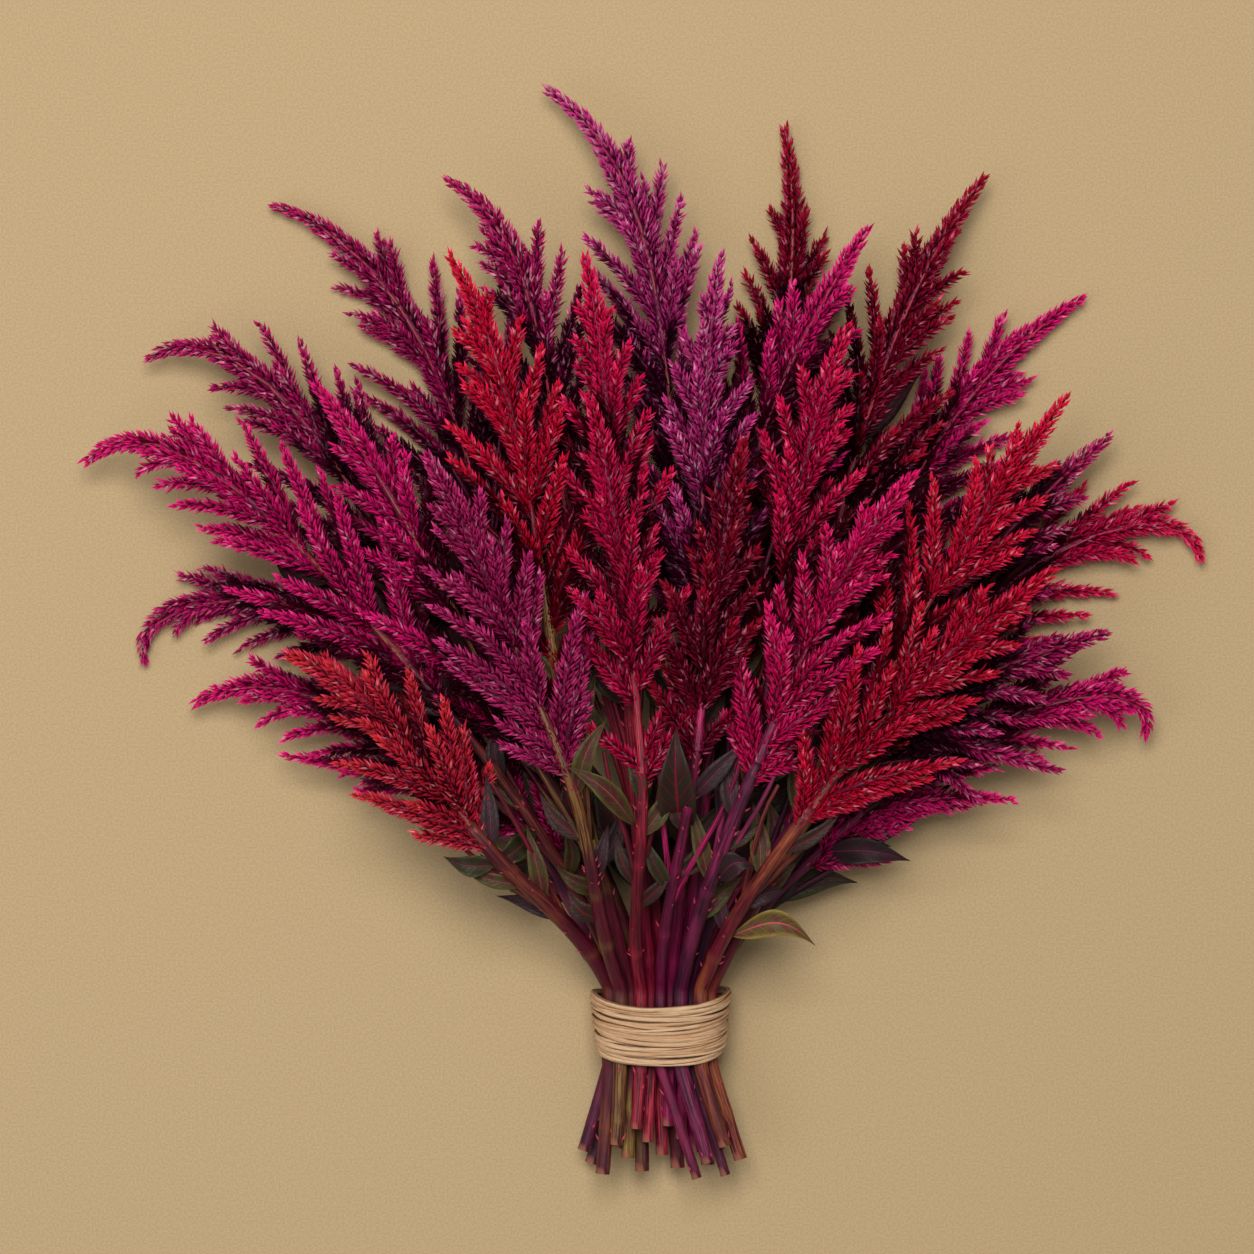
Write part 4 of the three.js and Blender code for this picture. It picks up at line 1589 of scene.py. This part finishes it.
@dataclass(frozen=True)
class Bundle:
    """The stems' places in the tie and the lines that they follow, in millimetres."""

    stem_radius: float = 4.7
    stem_top_radius: float = 3.0
    cut_radius: float = 4.05
    pitch: float = 9.0
    looseness: float = 1.12
    tie_wall: float = 4.5
    tie_clearance: float = 0.3
    tie_half_length: float = 18.5
    edge_room: float = 1.5
    stem_pull: float = 0.9
    fan_spread: float = 0.02
    fan_rise: float = 0.02
    plume_gap: float = 0.3
    splay_wide: float = 0.5
    splay_cross: float = 0.6
    splay_tall: float = 0.05
    splay_length: float = 56.0
    cut_near: float = -44.0
    cut_far: float = -77.0
    hull_wide: float = 2.5
    hull_narrow: float = 2.0
    corner_steps: int = 4

    @property
    def floor(self) -> float:
        """Height of the lowest stems' centres."""
        return self.tie_wall + self.tie_clearance + self.stem_radius

    @property
    def row_pitch(self) -> float:
        """Height from one row of stems to the next."""
        return self.pitch * math.sqrt(3.0) / 2.0

    @property
    def half_height(self) -> float:
        """Height from the bundle's middle to the centres of its top row."""
        return self.row_pitch * (len(LAYERS) - 1) / 2.0

    @property
    def middle(self) -> float:
        """Height of the bundle's middle."""
        return self.floor + self.half_height

    @property
    def edge(self) -> float:
        """Distance along the stems from the tie's middle to where they bend."""
        return self.tie_half_length + self.edge_room

    def slot(self, layer: int, place: int) -> tuple[float, float]:
        """Where a stem passes through the tie, as x and z."""
        aside = (place - (len(LAYERS[layer]) - 1) / 2.0) * self.pitch * self.looseness
        return aside, self.floor + layer * self.row_pitch

    def upper_points(self, layer: int, place: int, share: Array) -> Array:
        """Points of a stem above the tie.

        Args:
            layer: The stem's layer.
            place: Its place in the layer.
            share: 0 at the tie to 1 at the plume's foot.

        Returns:
            One point a share.
        """
        head = LAYERS[layer][place]
        x, z = self.slot(layer, place)
        start = np.array([x, self.edge, z])
        leave = heading(head.leave)
        end = np.array([*head.base, LAYER_BASE + LAYER_PITCH * layer]) - leave * self.plume_gap
        pull = float(np.linalg.norm(end - start)) * self.stem_pull
        fan = np.array([x / self.looseness * self.fan_spread, 1.0, (z - self.floor) * self.fan_rise])
        return hermite(start, fan * pull, end, leave * pull, share)

    def upper_ahead(self, layer: int, place: int, along: float) -> tuple[Array, Array]:
        """Where something branches off a stem above the tie, and the way ahead there.

        Args:
            layer: The stem's layer.
            place: Its place in the layer.
            along: 0 at the tie to 1 at the plume's foot.

        Returns:
            The place and the direction.
        """
        here, beyond = self.upper_points(layer, place, np.array([along, along + 0.01]))
        return here, unit(beyond - here)

    def lower_points(self, layer: int, place: int, y: Array) -> Array:
        """Points of a stem in and behind the tie.

        Args:
            layer: The stem's layer.
            place: Its place in the layer.
            y: Distances along the bunch.

        Returns:
            One point a distance.
        """
        x, z = self.slot(layer, place)
        share = np.maximum(0.0, (-y - self.edge) / self.splay_length)
        above = z - self.middle
        return columns(x * (1 + self.splay_wide * share) + above * self.splay_cross * share, y,
                       self.middle + above * (1 + self.splay_tall * share))

    def outline(self, offset: float, count: int) -> Array:
        """Even steps round the bundle at a distance from the outer stems' centres.

        Args:
            offset: The distance.
            count: How many steps.

        Returns:
            x and z of each step, anticlockwise.
        """
        high = self.half_height
        wide, narrow = self.pitch * self.hull_wide, self.pitch * self.hull_narrow
        hull = np.array([(narrow, -high), (wide, -high / 2), (wide, high / 2), (narrow, high),
                         (-narrow, high), (-wide, high / 2), (-wide, -high / 2), (-narrow, -high)])
        points = []
        for i, corner in enumerate(hull):
            before, after = hull[i - 1], hull[(i + 1) % len(hull)]
            start = math.atan2(*(corner - before)[::-1]) - math.pi / 2
            turn = math.atan2(*(after - corner)[::-1]) - math.pi / 2 - start
            swing = math.atan2(math.sin(turn), math.cos(turn))
            for k in range(self.corner_steps + 1):
                angle = start + swing * k / self.corner_steps
                points.append(corner + offset * np.array([math.cos(angle), math.sin(angle)]))
        ring = np.array(points + points[:1])
        marks = np.concatenate([[0.0], np.cumsum(np.linalg.norm(np.diff(ring, axis=0), axis=1))])
        steps = np.linspace(0.0, marks[-1], count, endpoint=False)
        return columns(np.interp(steps, marks, ring[:, 0]),
                       np.interp(steps, marks, ring[:, 1]) + self.middle)


BUNDLE = Bundle()


@dataclass
class Leaf:
    """Lance-shaped leaf, folded along its midrib, arched and a little wavy, in millimetres."""

    plan: LeafPlan
    seed: int
    is_fused: bool
    thickness: float = 0.5
    fold: float = 0.42
    wave: float = 0.9
    stand_off: float = 3.2
    root_half_width: float = 0.55
    least_half_width: float = 0.12

    def patch(self, slab: Stock, slot: int) -> Patch:
        """Shapes the leaf where its plan says that it grows.

        Args:
            slab: Closed thin slab, x -1 to 1 across and y 0 to 1 along, z its thickness.
            slot: Material slot of its faces.

        Returns:
            The leaf.
        """
        plan = self.plan
        step = 0.01
        shares = plan.along + step * np.arange(-1, 2)
        before, seat, after = BUNDLE.upper_points(plan.layer, plan.place, shares)
        ahead = unit(after - before)
        tip = np.array(plan.tip, dtype=float)
        aside = tip - seat
        aside = unit(aside - ahead * float(aside @ ahead))
        return self.shaped(seat + aside * (0.0 if self.is_fused else self.stand_off), tip, slab, slot)

    def shaped(self, start: Array, tip: Array, slab: Stock, slot: int) -> Patch:
        """Shapes the slab into a leaf between two places.

        Args:
            start: Where it leaves its stem.
            tip: Where it ends.
            slab: Closed thin slab.
            slot: Material slot of its faces.

        Returns:
            The leaf.
        """
        plan = self.plan
        line = unit(tip - start)
        across = unit(np.cross(UP, line))
        x, y, z = slab.corners.T
        reach = y ** 0.9
        bow = plan.width * plan.bow * np.sin(math.pi * y)
        blade = np.sin(math.pi * np.clip(y, 0.0, 1.0) ** 0.7) ** 1.3
        half = plan.width / 2.0 * blade + self.root_half_width * (1.0 - y) + self.least_half_width
        middle = start[None] + (tip - start)[None] * reach[:, None]
        early = reach * (1.0 - reach) * (tip - start)[2]
        rise = plan.arch * np.sin(math.pi * reach) + early + half * self.fold * np.abs(x) ** 1.4
        rise = rise + self.wave * np.abs(x) ** 2 * np.sin(y * 21.0 + self.seed * 1.7 + x * 1.3) * blade
        corners = (middle + across[None] * (half * x + bow)[:, None]
                   + UP[None] * (rise + z * self.thickness * (0.5 + blade))[:, None])
        marks = columns(x * 0.5 + 0.5, y, 0.5, 1.0)
        rest = columns(x * plan.width / 2, y * 40.0, self.seed * 5.0) * MM
        return Patch(corners * MM, np.array(slab.faces), marks, rest, slot)


@dataclass
class Supplies:
    """Shapes that are modelled once and finishes, shared by all pieces."""

    floret: Stock
    bract: Stock
    thread: Stock
    rod: Stock
    slab: Stock
    sliver: Stock
    floret_paint: dict[Tint, bpy.types.Material]
    stem_paint: dict[StemTint, bpy.types.Material]
    leaf_paint: dict[LeafTint, bpy.types.Material]

    @classmethod
    def make(cls) -> "Supplies":
        """Models the shapes and mixes the finishes.

        Returns:
            The supplies.
        """
        return cls(
            floret=Workbench.floret(sides=3, belly=0.38, flatness=1.0),
            bract=Workbench.floret(sides=5, belly=0.35, flatness=0.6),
            thread=Workbench.rod(sides=5, stations=7),
            rod=Workbench.rod(sides=14, stations=54, rib_depth=0.05, rim=0.12),
            slab=Workbench.slab(long_cells=22, cross_cells=8),
            sliver=Workbench.slab(long_cells=10, cross_cells=4),
            floret_paint={tint: finish.material(f"florets_{tint.value}")
                          for tint, finish in FLORET_FINISHES.items()},
            stem_paint={tint: finish.material(f"stem_{tint.value}")
                        for tint, finish in STEM_FINISHES.items()},
            leaf_paint={tint: finish.material(f"leaf_{tint.value}")
                        for tint, finish in LEAF_FINISHES.items()})


@dataclass
class Stem:
    """Ribbed stem from its cut end through the tie to its plume, with bracts, joints and small leaves."""

    layer: int
    place: int
    number: int
    tint: StemTint
    thinness: float = 0.8
    joint_count: int = 5
    joint_length: float = 0.008
    joint_swell: float = 0.1
    bract_count: int = 22
    low_bract_count: int = 4
    leaf_count: int = 4
    low_leaf_count: int = 6
    low_leaf_size: float = 1.75
    low_leaf_reach: float = 1.4
    twig_count: int = 2
    sway: float = 13.0
    thinning_length: float = 180.0
    cut_taper_length: float = 30.0

    @property
    def is_low(self) -> bool:
        """Whether it lies in one of the two lowest layers."""
        return self.layer < 2

    @property
    def grain(self) -> float:
        """Where in the streaks of its finish it lies, in metres."""
        return self.number * 0.05

    def course(self) -> Course:
        """Line of the whole stem.

        Returns:
            The line.
        """
        cut = BUNDLE.cut_near + (BUNDLE.cut_far - BUNDLE.cut_near) * (0.5 + 0.5 * vary(self.number, 5))
        y = np.linspace(cut, BUNDLE.edge, 24)
        lower = BUNDLE.lower_points(self.layer, self.place, y)
        behind = np.clip((-y - BUNDLE.edge) / BUNDLE.splay_length, 0.0, 1.0)
        lower[:, 0] += self.sway * vary(self.number, 21) * behind * (1.0 - 0.5 * abs(lower[-1, 0]) / 24.0)
        upper = BUNDLE.upper_points(self.layer, self.place, np.linspace(0.0, 1.0, 50)[1:])
        return Course(np.concatenate([lower, upper]) * MM)

    def radius(self, course: Course, share: Array) -> Array:
        """Radius along the stem, swollen at its joints.

        Args:
            course: The stem's line.
            share: Shares of its length.

        Returns:
            Radii in metres.
        """
        y = course.at(share)[:, 1] / MM
        upper = np.clip((y - BUNDLE.edge) / self.thinning_length, 0.0, 1.0)
        behind = np.clip((-y - BUNDLE.edge) / self.cut_taper_length, 0.0, 1.0)
        plain = BUNDLE.stem_radius + (BUNDLE.stem_top_radius - BUNDLE.stem_radius) * smooth(upper)
        plain = plain + (BUNDLE.cut_radius - BUNDLE.stem_radius) * behind
        stout = self.thinness * (1.0 + 0.18 * vary(self.number, 31))
        return plain * stout * (1.0 + self.joint_swell * self.joints(share)) * MM

    def joints(self, share: Array) -> Array:
        """How near each share is to a joint.

        Args:
            share: Shares of the stem's length.

        Returns:
            0 away from a joint to 1 on it.
        """
        total = np.zeros(len(share))
        for k in range(self.joint_count):
            middle = (k + 0.5 + 0.3 * vary(self.number, k + 11)) / self.joint_count
            total = total + np.exp(-((share - middle) / self.joint_length) ** 2)
        return np.clip(total, 0.0, 1.0)

    def tone(self, step: int) -> float:
        """How bright the stem or one of its shoots is, 0 to 1."""
        return 0.5 + 0.5 * vary(self.number, 41 + step)

    def foliage(self) -> list[LeafPlan]:
        """Plans the small dark leaves that grow along the stem below its plume.

        Returns:
            Their plans.
        """
        rng = np.random.default_rng(2000 + self.number)
        plans = []
        size = self.low_leaf_size if self.is_low else 1.0
        count = self.low_leaf_count if self.is_low else self.leaf_count
        for i in range(count):
            along = 0.26 + 0.6 * (i + rng.uniform(0.1, 0.9)) / count
            here, ahead = BUNDLE.upper_ahead(self.layer, self.place, along)
            across = unit(np.cross(UP, ahead)) * hand(i + self.number)
            length = rng.uniform(28.0, 50.0) * (self.low_leaf_reach if self.is_low else 1.0)
            tip = here + (ahead * rng.uniform(0.7, 0.95) + across * rng.uniform(0.25, 0.6)) * length
            tip[2] = here[2] + rng.uniform(-6.0, 0.0 if self.is_low else 8.0)
            tint = (LeafTint.DARK, LeafTint.GREEN, LeafTint.PURPLE, LeafTint.OLIVE)[int(rng.integers(4))]
            plans.append(LeafPlan(self.layer, self.place, along, tuple(tip), rng.uniform(6.0, 9.5) * size,
                                  rng.uniform(1.0, 4.0), tint, rng.uniform(-0.5, 0.5)))
        return plans

    def twigs(self) -> list[Course]:
        """Lines of the thin side shoots that run up beside the stem.

        Returns:
            The lines.
        """
        rng = np.random.default_rng(2500 + self.number)
        leave = heading(LAYERS[self.layer][self.place].leave)
        top = BUNDLE.upper_points(self.layer, self.place, np.ones(1))[0]
        courses = []
        for i in range(self.twig_count):
            here, ahead = BUNDLE.upper_ahead(self.layer, self.place, rng.uniform(0.1, 0.5))
            across = np.cross(UP, leave) * hand(i + self.number)
            tip = top + across * rng.uniform(9.0, 24.0) + leave * rng.uniform(-8.0, 26.0)
            tip = tip - UP * rng.uniform(0.0, 7.0)
            pull = float(np.linalg.norm(tip - here)) * 0.9
            courses.append(Course(hermite(here, ahead * pull, tip, leave * pull,
                                          np.linspace(0.0, 1.0, 30)) * MM))
        return courses

    def bracts(self, course: Course, stock: Stock) -> Patch:
        """Sets small pink bracts on the stem, more of them towards the plume.

        Args:
            course: The stem's line.
            stock: The bract modelled once.

        Returns:
            The bracts.
        """
        rng = np.random.default_rng(1000 + self.number)
        low = float(np.interp(BUNDLE.edge * MM, course.points[:, 1], course.marks)) / course.length
        above = low + (1.0 - low) * rng.random(self.bract_count) ** 0.55
        below = low * 0.55 * rng.random(self.low_bract_count)
        share = np.concatenate([above, below])
        frames = course.frames(share)
        out = frames.outward(rng.uniform(0.0, TURN, len(share)))
        lean = np.radians(rng.uniform(18.0, 40.0, len(share)))[:, None]
        foot = frames.place + out * (self.radius(course, share) * 0.92)[:, None]
        axis = unit(frames.ahead * np.cos(lean) + out * np.sin(lean))
        length = rng.uniform(2.4, 5.2, len(share)) * MM
        bracts = Florets(foot, axis, np.cross(frames.ahead, out), length, length * 0.36,
                         np.full(len(share), 0.7), share)
        patch = bracts.patch(stock, rng, 0.0)
        patch.marks = np.tile([[0.85, 0.0, 0.0, 1.0]], (len(patch.corners), 1))
        return patch

    def build(self, supplies: Supplies) -> None:
        """Makes the stem with the shoots, bracts and leaves that are one piece with it.

        Args:
            supplies: The shapes and finishes.
        """
        rod, thread = supplies.rod, supplies.thread
        piece = Piece(f"stalk_{self.number:02d}", f"stem_{self.tint.value}", f"stem_{self.number:02d}")
        bark = piece.slot_for(supplies.stem_paint[self.tint])
        course = self.course()
        share = rod.corners[:, 2]
        off_axis = np.hypot(rod.corners[:, 0], rod.corners[:, 1])
        cut = ((share < 0.001) & (off_axis < 0.97)).astype(float)
        marks = columns(0.0, cut, self.joints(share), self.tone(0))
        piece.add(*bent_rod(course, rod, self.radius(course, share), marks, bark, self.grain, 1.0))
        thin = thread.corners[:, 2]
        marks = columns(thin * 0.0, 0.0, 0.0, self.tone(1))
        for twig in self.twigs():
            piece.add(*bent_rod(twig, thread, (1.9 - 0.9 * thin) * MM, marks, bark, self.grain + 0.02))
        piece.add(self.bracts(course, supplies.bract))
        grown = [(plan, supplies.slab) for plan in STEM_LEAVES
                 if (plan.layer, plan.place) == (self.layer, self.place)]
        grown += [(plan, supplies.sliver) for plan in self.foliage()]
        for i, (plan, stock) in enumerate(grown):
            leaf = Leaf(plan, 20 + self.number * 7 + i, is_fused=True)
            piece.add(leaf.patch(stock, piece.slot_for(supplies.leaf_paint[plan.tint])))
        piece.finish()


@dataclass
class RaffiaTie:
    """Strands of raffia wound round the stems, side by side and a little across each other."""

    strand_count: int = 42
    stations: int = 72
    section: int = 8
    half_length: float = 15.2
    depth: float = 8.0
    outer_depth: float = 0.9
    inner_depth: float = -0.5
    flare: float = 1.3
    hang: float = 7.0
    lift: float = 3.2
    broadness: float = 1.06
    wound_length: float = 190.0
    strand_shift: float = 9.0

    def build(self) -> None:
        """Makes the tie."""
        piece = Piece("raffia_strands", "raffia", "raffia_tie")
        piece.slot_for(RaffiaFinish().material("raffia"))
        rng = np.random.default_rng(7)
        for i in range(self.strand_count):
            piece.add(self.strand(i, rng))
        piece.finish()

    def seat(self) -> tuple[Array, Array]:
        """Where the strands lie round the bundle.

        Returns:
            x and z of each step, and the way out there.
        """
        ring = BUNDLE.outline(self.depth, self.stations)
        reach = self.stations // 18
        wrapped = np.concatenate([ring[-reach:], ring, ring[:reach]])
        window = np.full(2 * reach + 1, 1.0 / (2 * reach + 1))
        ring = np.stack([np.convolve(wrapped[:, k], window, mode="valid") for k in (0, 1)], axis=1)
        along = np.roll(ring, -1, axis=0) - np.roll(ring, 1, axis=0)
        return ring, unit(columns(along[:, 1], -along[:, 0]))

    def smile(self, ring: Array) -> Array:
        """How far the strands hang towards the cut ends in the middle and rise at the sides.

        Args:
            ring: x and z of the steps round the bundle.

        Returns:
            The shift along the bunch at each step.
        """
        half = np.abs(ring[:, 0]).max()
        arc = np.sqrt(np.clip(1.0 - (ring[:, 0] / half) ** 2, 0.0, 1.0))
        arc = np.convolve(np.concatenate([arc[-2:], arc, arc[:2]]), np.full(5, 0.2), mode="valid")
        is_upper = ring[:, 1] > BUNDLE.middle
        return self.lift - arc * np.where(is_upper, self.hang, 0.25 * self.hang)

    def strand(self, index: int, rng: np.random.Generator) -> Patch:
        """Winds one strand.

        Args:
            index: Which strand.
            rng: Source of the variety.

        Returns:
            The strand, a closed ring.
        """
        is_outer = index % 3 != 2
        row = index // 3 + (0.5 if index % 3 == 1 else 0.0)
        rows = self.strand_count / 3
        middle = -self.half_length + 2 * self.half_length * (row + 0.25) / rows
        angle = np.arange(self.stations) / self.stations * TURN

        def ripple(size: float, times: int) -> Array:
            """Waves round the ring, started at random."""
            return size * np.sin(times * angle + rng.uniform(0, TURN))
        slant = rng.uniform(-1.9, 1.9) if is_outer else 0.0
        y = np.clip(middle + ripple(slant, 1) + ripple(0.35, 3), -self.half_length, self.half_length)
        outline, outward = self.seat()
        y = y + self.smile(outline)
        depth = (self.outer_depth if is_outer else self.inner_depth) + ripple(0.5, 2)
        depth = depth + self.flare * y / self.half_length
        wide = rng.uniform(0.8, 1.5) + ripple(0.15, 5)
        thick = rng.uniform(0.7, 1.05)
        twist = ripple(0.25, 1)
        shade = rng.random()
        corners, marks, rest = [], [], []
        for k in range(self.section):
            turn = k / self.section * TURN
            across = math.cos(turn) * wide
            out = math.sin(turn) * thick
            side = across * np.cos(twist) - out * np.sin(twist)
            lift = across * np.sin(twist) + out * np.cos(twist)
            place = (outline + outward * (depth + lift)[:, None]) * np.array([self.broadness, 1.0])
            corners.append(columns(place[:, 0], y + side, place[:, 1]))
            marks.append(columns(0.5 + 0.5 * math.cos(turn) + 0.0 * angle, shade, 0.0, 1.0))
            rest.append(columns(across + index * self.strand_shift, out,
                                np.abs(angle / TURN - 0.5) * 2 * self.wound_length))
        s, k = np.divmod(np.arange(self.stations * self.section), self.section)
        here, beyond = s * self.section, (s + 1) % self.stations * self.section
        after = (k + 1) % self.section
        faces = np.stack([here + k, beyond + k, beyond + after, here + after], axis=1)
        return Patch(np.stack(corners, axis=1).reshape(-1, 3) * MM, faces,
                     np.stack(marks, axis=1).reshape(-1, 4), np.stack(rest, axis=1).reshape(-1, 3) * MM)


@dataclass
class Studio:
    """Table top, soft lights and a camera that looks straight down."""

    view_centre: tuple[float, float] = (-17.0, 202.0)
    view_width: float = 627.0
    focus_height: float = 60.0
    camera_height: float = 2400.0
    sensor_width: float = 36.0
    view_depth: float = 50.0
    table_size: float = 9.0
    aim: tuple[float, float, float] = (0.0, 0.2, 0.05)
    warm_white: Colour = (1.0, 0.97, 0.93)
    cool_white: Colour = (1.0, 0.98, 0.96)
    surroundings: float = 0.22

    def camera(self) -> None:
        """Adds the camera."""
        data = bpy.data.cameras.new("camera")
        data.sensor_fit = "HORIZONTAL"
        data.sensor_width = self.sensor_width
        data.lens = data.sensor_width * (self.camera_height - self.focus_height) / self.view_width
        data.clip_end = self.view_depth
        camera = put_in_scene("camera", data)
        camera.location = (self.view_centre[0] * MM, self.view_centre[1] * MM, self.camera_height * MM)
        bpy.context.scene.camera = camera

    def table(self) -> None:
        """Adds the pale table top."""
        Workbench.clear_selection()
        bpy.ops.mesh.primitive_plane_add(size=self.table_size, location=(0, 0, 0))
        table = bpy.context.active_object
        table.name = "table_top"
        table.data.materials.append(TableFinish().material("table_top"))

    def lamp(self, name: str, place: tuple[float, float, float], size: float, watts: float,
             colour: Colour) -> None:
        """Adds a soft square lamp that points at the bunch.

        Args:
            name: Its name.
            place: Where it hangs, in metres.
            size: Its width.
            watts: Its power.
            colour: Its colour.
        """
        data = bpy.data.lights.new(name, "AREA")
        data.shape = "SQUARE"
        data.size = size
        data.energy = watts
        data.color = colour
        lamp = put_in_scene(name, data)
        aim = np.array(self.aim) - np.array(place)
        lamp.rotation_euler = Vector(aim).to_track_quat("-Z", "Y").to_euler()
        lamp.location = place

    def lights(self) -> None:
        """Adds the lamps and the surrounding light."""
        self.lamp("key", (-0.12, 0.84, 2.25), 1.0, 41.0, self.warm_white)
        self.lamp("fill", (-0.95, -0.2, 1.5), 1.2, 6.0, self.cool_white)
        bpy.context.scene.view_settings.view_transform = "Standard"
        world = bpy.data.worlds.new("studio")
        world.use_nodes = True
        background = world.node_tree.nodes["Background"]
        background.inputs["Color"].default_value = (*self.warm_white, 1.0)
        background.inputs["Strength"].default_value = self.surroundings
        bpy.context.scene.world = world


@dataclass
class Bunch:
    """The whole hand-tied bunch, with depths in millimetres."""

    buried: float = 12.0
    pressed: float = 1.2
    lit: float = 1.2
    dark: float = 9.5
    most_dimmed: float = 0.9

    def thin_out(self, plumes: Sequence[Plume]) -> None:
        """Leaves out the florets that lie buried in the bunch, and darkens the deep ones as painted shade.

        Args:
            plumes: All plumes, with their florets set.
        """
        canopy = Canopy(np.concatenate([plume.florets.tips() for plume in plumes]))
        total = 0
        for plume in plumes:
            tips = plume.florets.tips()
            least, mean = canopy.depth(tips)
            shown = (least < self.buried * MM) & (tips[:, 2] > -self.pressed * MM)
            # Painted shade: florets lying deep under the canopy's face are darkened.
            deep = np.clip((mean - self.lit * MM) / (self.dark * MM), 0.0, self.most_dimmed)
            plume.florets.shade = plume.florets.shade * (1.0 - deep)
            plume.florets = plume.florets.keep(shown)
            total += int(shown.sum())
        log.info("florets: %d", total)

    def build(self) -> None:
        """Makes every piece."""
        supplies = Supplies.make()
        tints = (StemTint.MAGENTA, StemTint.MAROON, StemTint.RUST, StemTint.OLIVE, StemTint.RED)
        places = [(layer, place) for layer, heads in enumerate(LAYERS) for place in range(len(heads))]
        plumes = []
        for number, (layer, place) in enumerate(places, 1):
            plumes.append(Plume(LAYERS[layer][place], layer, place, number))
            plumes[-1].plan()
            Stem(layer, place, number, tints[number % len(tints)]).build(supplies)
        self.thin_out(plumes)
        for plume in plumes:
            plume.build(supplies, tints[plume.number % len(tints)])
        for i, plan in enumerate(LEAVES):
            piece = Piece(f"leaf_blade_{i + 1:02d}", f"leaf_{plan.tint.value}", f"leaf_{i + 1:02d}")
            slot = piece.slot_for(supplies.leaf_paint[plan.tint])
            piece.add(Leaf(plan, i, is_fused=False).patch(supplies.slab, slot))
            piece.finish()
        RaffiaTie().build()


def main() -> None:
    """Builds the bunch and the studio in order."""
    studio = Studio()
    studio.camera()
    Bunch().build()
    studio.table()
    studio.lights()


if __name__ == "__main__":
    main()
